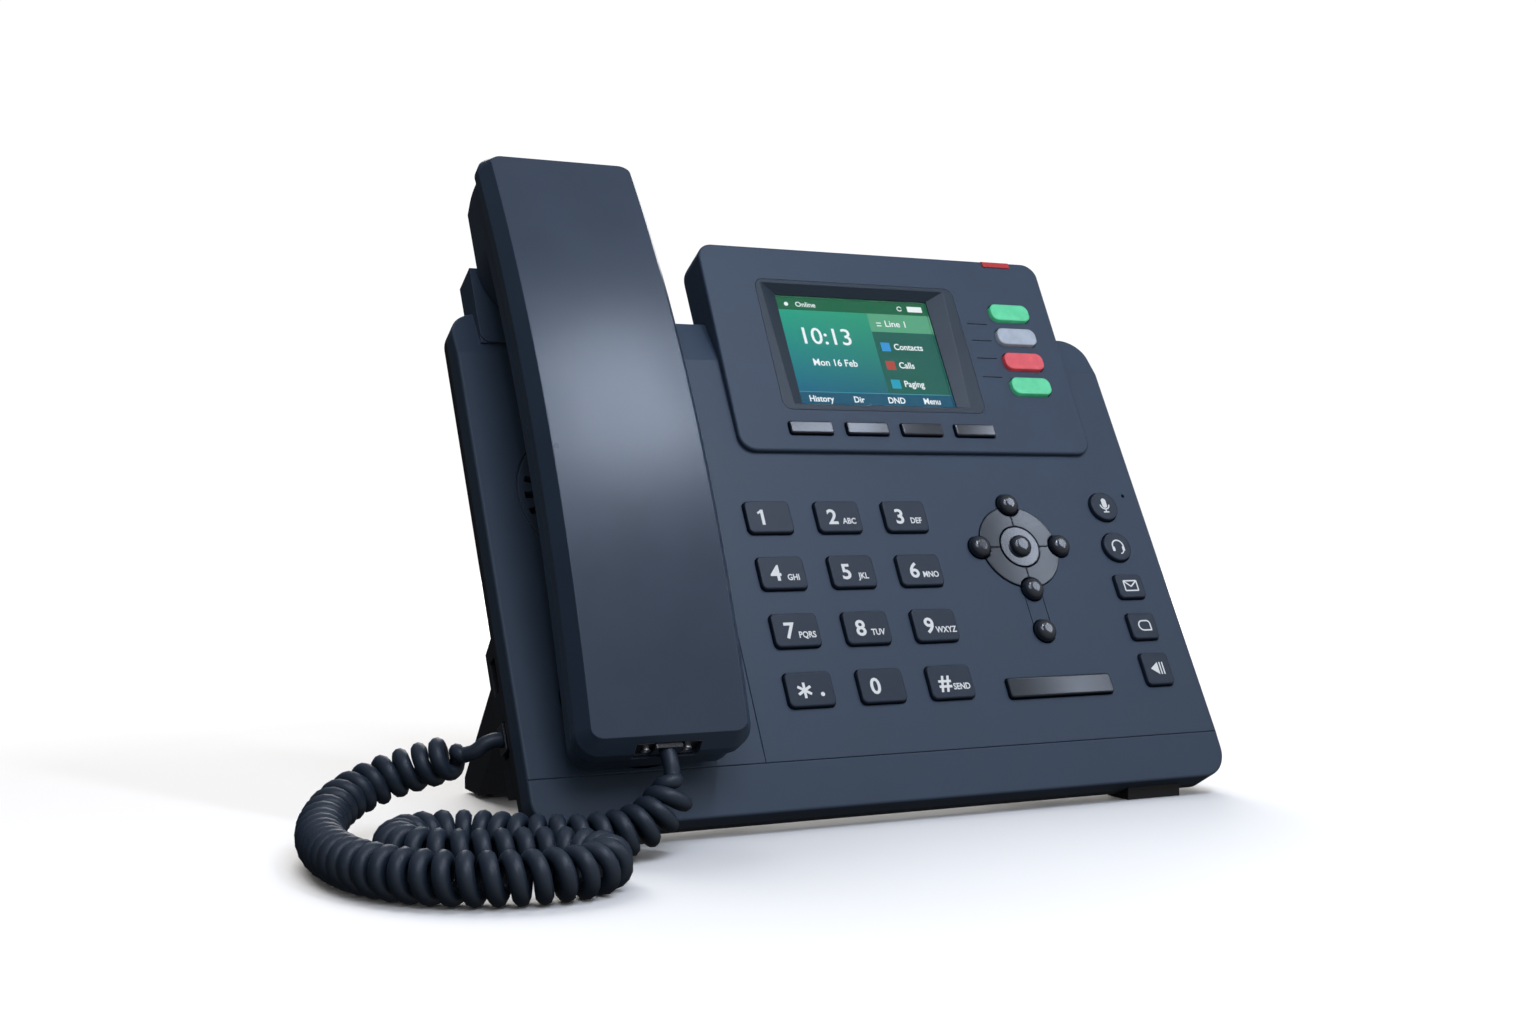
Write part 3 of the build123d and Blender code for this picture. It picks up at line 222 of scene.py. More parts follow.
def maths(tree, operation, first, second=None, clamp=False):
    """Math node on two values, each a number or an (node, socket) output."""
    node = tree.nodes.new("ShaderNodeMath")
    node.operation = operation
    node.use_clamp = clamp
    for slot, value in enumerate((first, second)):
        if value is None:
            continue
        if isinstance(value, tuple):
            wire(tree, value, (node, slot))
        else:
            node.inputs[slot].default_value = value
    return (node, 0)


def make_grain_group():
    """Fine moulded grain and a slow mottle, from object coordinates."""
    group, entry, leave = new_group(
        "moulded_grain",
        [("Grain Size", 0.00025), ("Mottle Size", 0.02)],
        [("Height", "NodeSocketFloat"), ("Mottle", "NodeSocketFloat")],
    )
    place_in = group.nodes.new("ShaderNodeTexCoord")
    for label, detail, target in (("Grain Size", 2.0, "Height"), ("Mottle Size", 3.0, "Mottle")):
        noise = group.nodes.new("ShaderNodeTexNoise")
        noise.inputs["Detail"].default_value = detail
        noise.inputs["Roughness"].default_value = 0.55
        scale = maths(group, "DIVIDE", 1.0, (entry, label))
        wire(group, scale, (noise, "Scale"))
        wire(group, (place_in, "Object"), (noise, "Vector"))
        wire(group, (noise, 0), (leave, target))
    return group


def make_edge_group():
    """Mask that is 1 along edges."""
    group, entry, leave = new_group(
        "edge_mask",
        [("Width", 0.0004), ("Gain", 4.0)],
        [("Mask", "NodeSocketFloat"), ("Normal", "NodeSocketVector")],
    )
    rounded = group.nodes.new("ShaderNodeBevel")
    rounded.samples = 4
    wire(group, (entry, "Width"), (rounded, "Radius"))
    flat = group.nodes.new("ShaderNodeNewGeometry")
    facing = group.nodes.new("ShaderNodeVectorMath")
    facing.operation = "DOT_PRODUCT"
    wire(group, (rounded, 0), (facing, 0))
    wire(group, (flat, "Normal"), (facing, 1))
    turned = maths(group, "SUBTRACT", 1.0, (facing, "Value"))
    mask = maths(group, "MULTIPLY", turned, (entry, "Gain"), clamp=True)
    wire(group, mask, (leave, "Mask"))
    wire(group, (rounded, 0), (leave, "Normal"))
    return group


def make_dust_group():
    """Patchy dust on faces that look up."""
    group, entry, leave = new_group(
        "settled_dust",
        [("Patch Size", 0.006)],
        [("Mask", "NodeSocketFloat")],
    )
    place_in = group.nodes.new("ShaderNodeTexCoord")
    noise = group.nodes.new("ShaderNodeTexNoise")
    noise.inputs["Detail"].default_value = 4.0
    wire(group, maths(group, "DIVIDE", 1.0, (entry, "Patch Size")), (noise, "Scale"))
    wire(group, (place_in, "Object"), (noise, "Vector"))
    flat = group.nodes.new("ShaderNodeNewGeometry")
    parts = group.nodes.new("ShaderNodeSeparateXYZ")
    wire(group, (flat, "Normal"), (parts, "Vector"))
    upward = maths(group, "SUBTRACT", (parts, "Z"), 0.55, clamp=True)
    wire(group, maths(group, "MULTIPLY", upward, (noise, 0), clamp=True), (leave, "Mask"))
    return group


GRAIN = make_grain_group()
EDGES = make_edge_group()
DUST = make_dust_group()


def place_group(tree, group, **values):
    """One use of a shared group, with its own input values."""
    node = tree.nodes.new("ShaderNodeGroup")
    node.node_tree = group
    for label, value in values.items():
        node.inputs[label.replace("_", " ")].default_value = value
    return node


def mix_colours(tree, amount, first, second):
    """Colour mix; each colour is an RGB triple or an (node, socket) output."""
    node = tree.nodes.new("ShaderNodeMix")
    node.data_type = "RGBA"
    sockets = {socket.identifier: socket for socket in node.inputs}
    tree.links.new(amount[0].outputs[amount[1]], sockets["Factor_Float"])
    for identifier, colour in (("A_Color", first), ("B_Color", second)):
        if isinstance(colour[0], bpy.types.Node):
            tree.links.new(colour[0].outputs[colour[1]], sockets[identifier])
        else:
            sockets[identifier].default_value = (*colour, 1)
    result = [number for number, socket in enumerate(node.outputs) if socket.identifier == "Result_Color"]
    return (node, result[0])


def srgb(red, green, blue):
    """Linear colour from values out of 255 on a screen."""
    def linear(value):
        value = value / 255
        return value / 12.92 if value <= 0.04045 else ((value + 0.055) / 1.055) ** 2.4
    return (linear(red), linear(green), linear(blue))


def new_material(name):
    """Material with its shader node: (material, tree, shader)."""
    material = bpy.data.materials.new(name)
    material.use_nodes = True
    shader = material.node_tree.nodes["Principled BSDF"]
    return material, material.node_tree, shader


MOTTLE_SIZE = 0.018
MOTTLE_DARK, MOTTLE_LIGHT = 0.86, 1.12
EDGE_WIDTH = 0.0004
ROUGHNESS_SWING = 0.08
COAT_ROUGHNESS = 0.12
DUST_PATCH = 0.005
DUST_COLOUR = (0.35, 0.36, 0.38)


def moulded(
    name,
    colour,
    edge,
    roughness,
    grain=0.00025,
    depth=0.00002,
    gain=3.0,
    specular=0.5,
    coat=0.0,
    dust=0.15,
    metallic=0.0,
):
    """Moulded plastic, rubber or metal: grain, mottled colour and gloss, dust, and a lighter edge colour
    that is partly wear from handling and partly painted edge highlight.
    """
    material, tree, shader = new_material(name)
    grains = place_group(tree, GRAIN, Grain_Size=grain, Mottle_Size=MOTTLE_SIZE)
    edges = place_group(tree, EDGES, Width=EDGE_WIDTH, Gain=gain)
    settled = place_group(tree, DUST, Patch_Size=DUST_PATCH)
    darker = tuple(part * MOTTLE_DARK for part in colour)
    lighter = tuple(part * MOTTLE_LIGHT for part in colour)
    body = mix_colours(tree, (grains, "Mottle"), darker, lighter)
    # Edges take the lighter edge colour: painted edge highlight together with wear from handling.
    edge_lightened = mix_colours(tree, (edges, "Mask"), body, edge)
    dusty = mix_colours(tree, maths(tree, "MULTIPLY", (settled, "Mask"), dust), edge_lightened, DUST_COLOUR)
    wire(tree, dusty, (shader, "Base Color"))
    swing = maths(tree, "MULTIPLY", (grains, "Mottle"), ROUGHNESS_SWING)
    lowest = roughness - ROUGHNESS_SWING / 2
    wire(tree, maths(tree, "ADD", swing, lowest, clamp=True), (shader, "Roughness"))
    bump = tree.nodes.new("ShaderNodeBump")
    bump.inputs["Distance"].default_value = depth
    bump.inputs["Strength"].default_value = 1.0
    wire(tree, (grains, "Height"), (bump, "Height"))
    wire(tree, (edges, "Normal"), (bump, "Normal"))
    wire(tree, (bump, 0), (shader, "Normal"))
    shader.inputs["Specular IOR Level"].default_value = specular
    shader.inputs["Coat Weight"].default_value = coat
    shader.inputs["Coat Roughness"].default_value = COAT_ROUGHNESS
    shader.inputs["Metallic"].default_value = metallic
    return material


def glowing(name, colour, light, roughness=0.4):
    """Flat colour that gives its own light, slightly uneven."""
    material, tree, shader = new_material(name)
    grains = place_group(tree, GRAIN, Grain_Size=0.0003, Mottle_Size=0.008)
    shade = mix_colours(tree, (grains, "Mottle"), tuple(part * 0.95 for part in colour), colour)
    wire(tree, shade, (shader, "Emission Color"))
    shader.inputs["Base Color"].default_value = (0.01, 0.01, 0.01, 1)
    shader.inputs["Emission Strength"].default_value = light
    shader.inputs["Roughness"].default_value = roughness
    shader.inputs["Specular IOR Level"].default_value = 0.1
    return material


SLATE = srgb(49, 63, 81)
SLATE_EDGE = srgb(80, 94, 114)
housing = moulded("slate housing", SLATE, SLATE_EDGE, 0.46, specular=0.3)
# The rear cover and stand are coloured far darker than the slate housing: painted shade for their shaded
# underside and back.
rear_housing_painted_shade = moulded("rear housing darkened as painted shade", srgb(26, 30, 38), srgb(58, 64, 76), 0.52, grain=0.0004)
handset_skin = moulded(
    "slate handset", srgb(44, 57, 74), SLATE_EDGE, 0.29, grain=0.0002, depth=0.000006, specular=0.4
)
key_plastic = moulded(
    "key caps", srgb(37, 46, 61), srgb(62, 74, 92), 0.38, grain=0.0002, depth=0.00001, specular=0.25
)
gloss_key = moulded(
    "gloss keys", srgb(24, 30, 41), srgb(46, 54, 68), 0.15, depth=0.000001, gain=1.0, coat=0.2, dust=0.0
)
ring_gloss = moulded(
    "gloss ring", srgb(20, 28, 38), srgb(48, 58, 72), 0.15,
    depth=0.000001, gain=1.0, specular=0.35, dust=0.0,
)
bezel_gloss = moulded(
    "bezel", srgb(38, 50, 62), srgb(74, 86, 100), 0.34, depth=0.000006, specular=0.3
)
black_liner = moulded("black liner", srgb(10, 11, 14), srgb(26, 28, 33), 0.4)
board = moulded(
    "circuit board", srgb(18, 78, 48), srgb(120, 130, 90), 0.42, grain=0.0012, depth=0.00003
)
socket_black = moulded("socket plastic", srgb(16, 17, 20), srgb(44, 46, 52), 0.45)
speaker_cone = moulded(
    "speaker cone", srgb(12, 13, 16), srgb(30, 32, 36), 0.7, grain=0.0006, depth=0.00006
)
steel = moulded(
    "steel", srgb(176, 178, 182), srgb(215, 216, 220), 0.30, depth=0.000006, metallic=1.0
)
gold = moulded(
    "gold contacts", srgb(214, 170, 84), srgb(240, 205, 130), 0.25, depth=0.000003, metallic=1.0
)
rubber = moulded("rubber", srgb(20, 21, 24), srgb(48, 50, 54), 0.75, grain=0.0005, depth=0.00004)
cord_skin = moulded(
    "cord skin", srgb(33, 43, 56), srgb(52, 62, 78), 0.42,
    grain=0.0006, depth=0.00003, specular=0.35, dust=0.1,
)
plug_plastic = moulded("plug plastic", srgb(24, 27, 34), srgb(70, 76, 88), 0.25, coat=0.3)
# The white print on the keys gives off light of its own at strength 0.85: painted glow, since ink is no
# lamp.
print_white_painted_glow = glowing("white print with painted glow", srgb(226, 232, 240), 0.85)


def lit_key(name, colour, deep, glow):
    """Translucent key cap lit from below, brighter in the middle of the mottle."""
    material, tree, shader = new_material(name)
    grains = place_group(tree, GRAIN, Grain_Size=0.0003, Mottle_Size=0.004)
    edges = place_group(tree, EDGES, Width=0.0009, Gain=5.0)
    body = mix_colours(tree, (grains, "Mottle"), deep, colour)
    rim = mix_colours(tree, (edges, "Mask"), body, deep)
    wire(tree, rim, (shader, "Base Color"))
    wire(tree, rim, (shader, "Emission Color"))
    shader.inputs["Emission Strength"].default_value = glow
    shader.inputs["Roughness"].default_value = 0.32
    shader.inputs["Coat Weight"].default_value = 0.3
    bump = tree.nodes.new("ShaderNodeBump")
    bump.inputs["Distance"].default_value = 0.000006
    wire(tree, (grains, "Height"), (bump, "Height"))
    wire(tree, (bump, 0), (shader, "Normal"))
    return material


green_key = lit_key("green lit key", srgb(98, 212, 160), srgb(52, 170, 112), 0.22)
grey_key = lit_key("grey lit key", srgb(184, 192, 202), srgb(128, 136, 148), 0.12)
red_key = lit_key("red lit key", srgb(226, 88, 98), srgb(178, 44, 54), 0.22)
red_lens = lit_key("red lens", srgb(196, 32, 40), srgb(150, 18, 24), 0.15)


def make_glass():
    """Clear display window with a faint smoke tint."""
    material, tree, shader = new_material("window glass")
    grains = place_group(tree, GRAIN, Grain_Size=0.0005, Mottle_Size=0.03)
    shader.inputs["Base Color"].default_value = (0.93, 0.95, 0.97, 1)
    shader.inputs["Transmission Weight"].default_value = 1.0
    shader.inputs["IOR"].default_value = 1.2
    faint = maths(tree, "MULTIPLY", (grains, "Mottle"), 0.03, clamp=True)
    wire(tree, faint, (shader, "Roughness"))
    return material


window_glass = make_glass()


# ---------------------------------------------------------------- finishes of the moulded parts
DIAL_KEYS = ["1", "2", "3", "4", "5", "6", "7", "8", "9", "star", "0", "hash"]
DOME_KEYS = ["up_key", "left_key", "right_key", "down_key", "cancel_key", "ok_key"]
FEATURE_KEYS = ["mute_key", "headset_key", "message_key", "redial_key", "speaker_key"]

finishes = {
    "front_cover": housing,
    "display_housing": housing,
    "rear_cover": rear_housing_painted_shade,
    "stand": rear_housing_painted_shade,
    "handset_outer_shell": handset_skin,
    "handset_inner_shell": handset_skin,
    "display_bezel": bezel_gloss,
    "display_window": window_glass,
    "lcd_module": black_liner,
    "indicator_light": red_lens,
    "navigation_ring": ring_gloss,
    "key_board": board,
    "main_board": board,
    "loudspeaker": speaker_cone,
    "handset_receiver": speaker_cone,
    "handset_microphone": steel,
    "network_sockets": socket_black,
    "power_socket": socket_black,
    "side_sockets": socket_black,
    "hook_switch": key_plastic,
    "rubber_feet": rubber,
    "housing_screws": steel,
    "handset_screws": steel,
    "volume_rocker": ring_gloss,
    "cord_plug_base": plug_plastic,
    "cord_plug_handset": plug_plastic,
    "line_key_1": green_key,
    "line_key_2": grey_key,
    "line_key_3": red_key,
    "line_key_4": green_key,
}
finishes.update({f"dial_key_{name}": key_plastic for name in DIAL_KEYS})
finishes.update({f"soft_key_{number}": gloss_key for number in (1, 2, 3, 4)})
finishes.update({name: key_plastic for name in FEATURE_KEYS})
finishes.update({name: gloss_key for name in DOME_KEYS})

for name, finish_material in finishes.items():
    slots = nodes[name].data.materials
    slots.clear()
    slots.append(finish_material)


# ---------------------------------------------------------------- shapes for prints and plates
def add_prism(cutting, outline, low, high):
    """Adds an upright prism on an outline of (x, y) points."""
    bottom = [cutting.verts.new((x, y, low)) for x, y in outline]
    top = [cutting.verts.new((x, y, high)) for x, y in outline]
    cutting.faces.new(bottom[::-1])
    cutting.faces.new(top)
    for number in range(len(outline)):
        following = (number + 1) % len(outline)
        cutting.faces.new((bottom[number], bottom[following], top[following], top[number]))


def rectangle(centre, width, height):
    """Corners of a rectangle."""
    x, y = centre
    half_w, half_h = width / 2, height / 2
    left, right, bottom, top = x - half_w, x + half_w, y - half_h, y + half_h
    return [(left, bottom), (right, bottom), (right, top), (left, top)]


def arc_points(centre, radius, start, end, count):
    """Points along an arc, angles in degrees."""
    angles = [math.radians(start + (end - start) * step / count) for step in range(count + 1)]
    x, y = centre
    return [(x + radius * math.cos(angle), y + radius * math.sin(angle)) for angle in angles]


def disc(centre, radius, count=20):
    """Outline of a disc."""
    return arc_points(centre, radius, 0, 360 - 360 / count, count - 1)


def rounded(centre, width, height, corner, count=5):
    """Outline of a rectangle with round corners."""
    outline = []
    for turn, (side_x, side_y) in enumerate(((1, 1), (-1, 1), (-1, -1), (1, -1))):
        middle = (centre[0] + side_x * (width / 2 - corner), centre[1] + side_y * (height / 2 - corner))
        outline += arc_points(middle, corner, 90 * turn, 90 * turn + 90, count)
    return outline


def arc_band(centre, radius, width, start, end, count=14):
    """Outline of a bent strip."""
    outer = arc_points(centre, radius + width / 2, start, end, count)
    inner = arc_points(centre, radius - width / 2, start, end, count)
    return outer + inner[::-1]


def stroke(start, end, width):
    """Outline of a straight strip between two points."""
    run = Vector(end) - Vector(start)
    side = Vector((-run.y, run.x)).normalized() * width / 2
    first, last = Vector(start), Vector(end)
    return [tuple(first - side), tuple(last - side), tuple(last + side), tuple(first + side)]


def text_mesh(words, size, weight, thickness, align):
    """Flat lettering as a mesh, with its base line on y = 0."""
    curve = bpy.data.curves.new("lettering", "FONT")
    curve.body = words
    curve.size = size
    curve.offset = weight
    curve.extrude = thickness / 2
    curve.align_x = align
    curve.resolution_u = 3
    holder = bpy.data.objects.new("lettering", curve)
    scene.collection.objects.link(holder)
    bpy.context.view_layer.update()
    depsgraph = bpy.context.evaluated_depsgraph_get()
    mesh = bpy.data.meshes.new_from_object(holder.evaluated_get(depsgraph))
    bpy.data.objects.remove(holder)
    bpy.data.curves.remove(curve)
    return mesh


def capital_share():
    """Height of a capital letter in a text of size 1."""
    mesh = text_mesh("H", 1.0, 0.0, 0.01, "LEFT")
    heights = [vertex.co.y for vertex in mesh.vertices]
    bpy.data.meshes.remove(mesh)
    return max(heights) - min(heights)


CAPITAL_SHARE = capital_share()


def add_text(cutting, words, spot, height, low, high, weight=0.0, align="CENTER", narrow=1.0):
    """Adds lettering whose capitals have the given height, on a base line at spot."""
    mesh = text_mesh(words, height / CAPITAL_SHARE, weight, high - low, align)
    to_spot = Matrix.Translation((spot[0], spot[1], (low + high) / 2))
    mesh.transform(to_spot @ Matrix.Diagonal((narrow, 1, 1, 1)))
    cutting.from_mesh(mesh)
    bpy.data.meshes.remove(mesh)


def finish_piece(name, cutting, placement, material, body):
    """Turns a bmesh in local millimetres into a placed piece that rides on a body."""
    bmesh.ops.remove_doubles(cutting, verts=cutting.verts, dist=1e-5)
    bmesh.ops.recalc_face_normals(cutting, faces=cutting.faces)
    mesh = bpy.data.meshes.new(name)
    cutting.to_mesh(mesh)
    cutting.free()
    mesh.transform(placement)
    mesh.materials.append(material)
    piece = bpy.data.objects.new(name, mesh)
    scene.collection.objects.link(piece)
    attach(piece, body)
    return piece


def on_panel(u, v, n):
    """Placement of a local print at a place on the panel."""
    return PANEL @ Matrix.Translation((u, v, n))


# ---------------------------------------------------------------- prints on the keys
INK_LOW, INK_HIGH = -0.03, 0.04
DIGIT_HEIGHT, LETTER_HEIGHT = 4.4, 1.75
BASE_LINE = -2.4
DIGIT_ACROSS, LETTERS_ACROSS = -2.2, 2.9
DIGIT_WEIGHT, LETTER_WEIGHT = 0.13, 0.05
LETTERS = {
    "2": "ABC",
    "3": "DEF",
    "4": "GHI",
    "5": "JKL",
    "6": "MNO",
    "7": "PQRS",
    "8": "TUV",
    "9": "WXYZ",
    "hash": "SEND",
}


STAR_SPOT, STAR_REACH, STAR_STROKE = (-1.9, -0.4), 2.2, 0.75
DOT_SPOT, DOT_REACH, DOT_STROKE = (3.2, -1.7), 0.6, 0.3
FLAG_TIP, FLAG_ROOT, FLAG_STROKE = Vector((-3.5, 1.0)), Vector((-2.3, 1.75)), 0.62
LETTER_NARROWING = 0.85


def add_ink(cutting, outline):
    """Adds a printed shape, which stands a hair above the surface."""
    add_prism(cutting, outline, INK_LOW, INK_HIGH)


def add_star(cutting, centre, radius, width, arms):
    """Star of crossing strokes."""
    for arm in range(arms):
        angle = math.pi / 2 + math.pi * arm / arms
        reach = Vector((math.cos(angle), math.sin(angle))) * radius
        add_ink(cutting, stroke(Vector(centre) - reach, Vector(centre) + reach, width))


for name in DIAL_KEYS:
    cutting = bmesh.new()
    middle = key_top(f"dial_key_{name}")
    if name == "star":
        add_star(cutting, STAR_SPOT, STAR_REACH, STAR_STROKE, 3)
        add_star(cutting, DOT_SPOT, DOT_REACH, DOT_STROKE, 5)
    else:
        sign = "#" if name == "hash" else name
        spot = (DIGIT_ACROSS, BASE_LINE)
        add_text(cutting, sign, spot, DIGIT_HEIGHT, INK_LOW, INK_HIGH, DIGIT_WEIGHT)
    if name == "1":
        add_ink(cutting, stroke(FLAG_TIP, FLAG_ROOT, FLAG_STROKE))
    if name in LETTERS:
        add_text(
            cutting,
            LETTERS[name],
            (LETTERS_ACROSS, BASE_LINE),
            LETTER_HEIGHT,
            INK_LOW,
            INK_HIGH,
            LETTER_WEIGHT,
            narrow=LETTER_NARROWING,
        )
    finish_piece(f"print_{name}", cutting, on_panel(*middle), print_white_painted_glow, f"dial_key_{name}")


def draw_microphone(cutting):
    """Capsule on a forked stand."""
    add_ink(cutting, rounded((0, 0.9), 1.7, 3.2, 0.84))
    add_ink(cutting, arc_band((0, 0.5), 1.6, 0.4, 185, 355))
    add_ink(cutting, stroke((0, -1.0), (0, -2.0), 0.4))
    add_ink(cutting, stroke((-1.0, -2.1), (1.0, -2.1), 0.4))


def draw_headset(cutting):
    """Head band with an ear cup and a boom."""
    add_ink(cutting, arc_band((0, 0), 1.95, 0.45, -35, 215))
    add_ink(cutting, rounded((-1.75, -0.9), 0.9, 1.6, 0.4))
    add_ink(cutting, rounded((1.75, -0.9), 0.9, 1.6, 0.4))
    add_ink(cutting, arc_band((0.3, -1.2), 1.3, 0.35, 270, 345))


def draw_envelope(cutting):
    """Closed envelope in outline."""
    half_w, half_h, line = 2.3, 1.6, 0.42
    corners = [(-half_w, -half_h), (half_w, -half_h), (half_w, half_h), (-half_w, half_h)]
    for start, end in zip(corners, corners[1:] + corners[:1]):
        add_ink(cutting, stroke(start, end, line))
    add_ink(cutting, stroke((-half_w, half_h), (0, -0.3), line))
    add_ink(cutting, stroke((half_w, half_h), (0, -0.3), line))


def draw_redial(cutting):
    """Round arrow that turns back."""
    line = 0.42
    add_ink(cutting, arc_band((-0.3, 0), 1.5, line, 90, 270))
    add_ink(cutting, stroke((-0.3, 1.5), (1.6, 1.5), line))
    add_ink(cutting, arc_band((1.2, 0.4), 1.1, line, 0, 90))
    add_ink(cutting, stroke((-0.3, -1.5), (2.4, -1.5), line))
    add_ink(cutting, stroke((2.3, 0.5), (2.3, -1.5), line))


def draw_speaker(cutting):
    """Loudspeaker horn with two waves."""
    add_ink(cutting, [(-2.5, 0.0), (0.2, -1.9), (0.2, 1.9)])
    for across, reach in ((0.95, 1.9), (1.9, 1.9)):
        add_ink(cutting, stroke((across, -reach), (across, reach), 0.4))


ICONS = {
    "mute_key": draw_microphone,
    "headset_key": draw_headset,
    "message_key": draw_envelope,
    "redial_key": draw_redial,
    "speaker_key": draw_speaker,
}
for name, draw in ICONS.items():
    cutting = bmesh.new()
    draw(cutting)
    finish_piece(f"icon_{name}", cutting, on_panel(*key_top(name)), print_white_painted_glow, name)


# ---------------------------------------------------------------- the screen's picture
screen_low, screen_high = panel_box("display_window")
SCREEN_LEFT, SCREEN_BOTTOM = screen_low.x, screen_low.y
SCREEN_WIDTH, SCREEN_HEIGHT = screen_high.x - screen_low.x, screen_high.y - screen_low.y
MODULE_TOP = panel_box("lcd_module")[1].z
LAYER = 0.03


def screen_piece(name, layer, draw, material):
    """Flat piece of the picture, some layers above the module; draw gets (bmesh, low, high)."""
    cutting = bmesh.new()
    draw(cutting, 0.0, LAYER * 0.8)
    placement = on_panel(SCREEN_LEFT, SCREEN_BOTTOM, MODULE_TOP + 0.01 + layer * LAYER)
    return finish_piece(name, cutting, placement, material, "base")


def screen_block(name, layer, outline, material):
    """Piece of the picture in one colour, filling an outline."""
    def draw(cutting, low, high):
        add_prism(cutting, outline, low, high)
    return screen_piece(name, layer, draw, material)


def make_screen_gradient():
    """Glow that runs from teal at the top to blue at the bottom, greener on the right."""
    material, tree, shader = new_material("screen glow")
    place_in = tree.nodes.new("ShaderNodeTexCoord")
    shares = []
    for direction, start, span in (
        (ALONG, place(SCREEN_LEFT, 0), SCREEN_WIDTH),
        (UPHILL, place(0, SCREEN_BOTTOM), SCREEN_HEIGHT),
    ):
        along = tree.nodes.new("ShaderNodeVectorMath")
        along.operation = "DOT_PRODUCT"
        along.inputs[1].default_value = direction
        wire(tree, (place_in, "Object"), (along, 0))
        share = tree.nodes.new("ShaderNodeMapRange")
        share.inputs["From Min"].default_value = start.dot(direction)
        share.inputs["From Max"].default_value = start.dot(direction) + span * MM
        wire(tree, (along, "Value"), (share, "Value"))
        shares.append((share, "Result"))
    across, up = shares
    left = mix_colours(tree, up, srgb(8, 84, 132), srgb(30, 166, 130))
    right = mix_colours(tree, up, srgb(12, 88, 104), srgb(48, 158, 112))
    wire(tree, mix_colours(tree, across, left, right), (shader, "Emission Color"))
    shader.inputs["Base Color"].default_value = (0.01, 0.01, 0.01, 1)
    shader.inputs["Emission Strength"].default_value = 1.0
    shader.inputs["Specular IOR Level"].default_value = 0.1
    return material


screen_glow = make_screen_gradient()
screen_green = glowing("screen dark green", srgb(8, 100, 64), 1.0)
screen_menu = glowing("screen menu", srgb(20, 96, 84), 1.0)
screen_item = glowing("screen item", srgb(88, 166, 128), 1.0)
screen_navy = glowing("screen navy", srgb(10, 84, 112), 1.0)
screen_line = glowing("screen line", srgb(70, 160, 170), 1.0)
screen_white = glowing("screen white", srgb(244, 250, 250), 1.0)
screen_blue = glowing("screen blue", srgb(50, 150, 214), 1.0)
screen_brown = glowing("screen brown", srgb(176, 72, 62), 1.0)
screen_cyan = glowing("screen cyan", srgb(30, 160, 190), 1.0)

TOP_BAR_HEIGHT, BOTTOM_BAR_HEIGHT, BAR_LINE_HEIGHT = 4.3, 4.7, 0.22
MENU_LEFT = 30.6
ITEM_HEIGHT = 6.6
menu_top = SCREEN_HEIGHT - TOP_BAR_HEIGHT
menu_bottom = BOTTOM_BAR_HEIGHT + BAR_LINE_HEIGHT
item_bottom = menu_top - ITEM_HEIGHT


def block_between(left, right, bottom, top):
    """Outline of a rectangle by its sides."""
    return [(left, bottom), (right, bottom), (right, top), (left, top)]


SCREEN_BLOCKS = (
    ("screen_backdrop", 0, (0, SCREEN_WIDTH, 0, SCREEN_HEIGHT), screen_glow),
    ("screen_top_bar", 1, (0, SCREEN_WIDTH, menu_top, SCREEN_HEIGHT), screen_green),
    ("screen_bottom_bar", 1, (0, SCREEN_WIDTH, 0, BOTTOM_BAR_HEIGHT), screen_navy),
    ("screen_bottom_line", 1, (0, SCREEN_WIDTH, BOTTOM_BAR_HEIGHT, menu_bottom), screen_line),
    ("screen_menu", 1, (MENU_LEFT, SCREEN_WIDTH, menu_bottom, item_bottom), screen_menu),
    ("screen_item", 1, (MENU_LEFT, SCREEN_WIDTH, item_bottom, menu_top), screen_item),
)
for name, layer, sides, material in SCREEN_BLOCKS:
    screen_block(name, layer, block_between(*sides), material)

MENU_ROWS = (20.6, 14.0, 7.4)
SQUARE = 3.1
MENU_COLOURS = (("blue", screen_blue), ("brown", screen_brown), ("cyan", screen_cyan))
for row, (colour_name, material) in zip(MENU_ROWS, MENU_COLOURS):
    outline = rectangle((MENU_LEFT + 3.4, row + 0.9), SQUARE, SQUARE)
    screen_block(f"screen_square_{colour_name}", 2, outline, material)


def draw_words(cutting, low, high):
    """White clock, date, menu words and soft key labels."""
    add_text(cutting, "10:13", (5.0, 21.6), 5.6, low, high, 0.05, "LEFT")
    add_text(cutting, "Mon 16 Feb", (7.6, 14.0), 2.3, low, high, 0.05, "LEFT", 0.92)
    add_text(cutting, "Line 1", (MENU_LEFT + 5.2, menu_top - 4.6), 2.2, low, high, 0.03, "LEFT")
    for row, words in zip(MENU_ROWS, ("Contacts", "Calls", "Paging")):
        add_text(cutting, words, (MENU_LEFT + 6.2, row), 2.1, low, high, 0.05, "LEFT", 0.9)
    for column, words in zip((7.3, 19.8, 32.6, 44.8), ("History", "Dir", "DND", "Menu")):
        add_text(cutting, words, (column, 1.5), 2.0, low, high, 0.06, "CENTER", 0.9)
    add_text(cutting, "Online", (6.6, menu_top + 1.2), 1.7, low, high, 0.03, "LEFT")
    add_prism(cutting, disc((3.6, menu_top + 2.0), 0.7), low, high)
    add_prism(cutting, rectangle((SCREEN_WIDTH - 4.0, menu_top + 2.2), 5.2, 2.0), low, high)
    add_prism(cutting, arc_band((SCREEN_WIDTH - 9.4, menu_top + 2.2), 0.75, 0.3, 20, 340), low, high)
    add_prism(cutting, rectangle((MENU_LEFT + 3.2, menu_top - 3.4), 1.6, 0.35), low, high)
    add_prism(cutting, rectangle((MENU_LEFT + 3.2, menu_top - 4.4), 1.6, 0.35), low, high)


screen_piece("screen_words", 3, draw_words, screen_white)


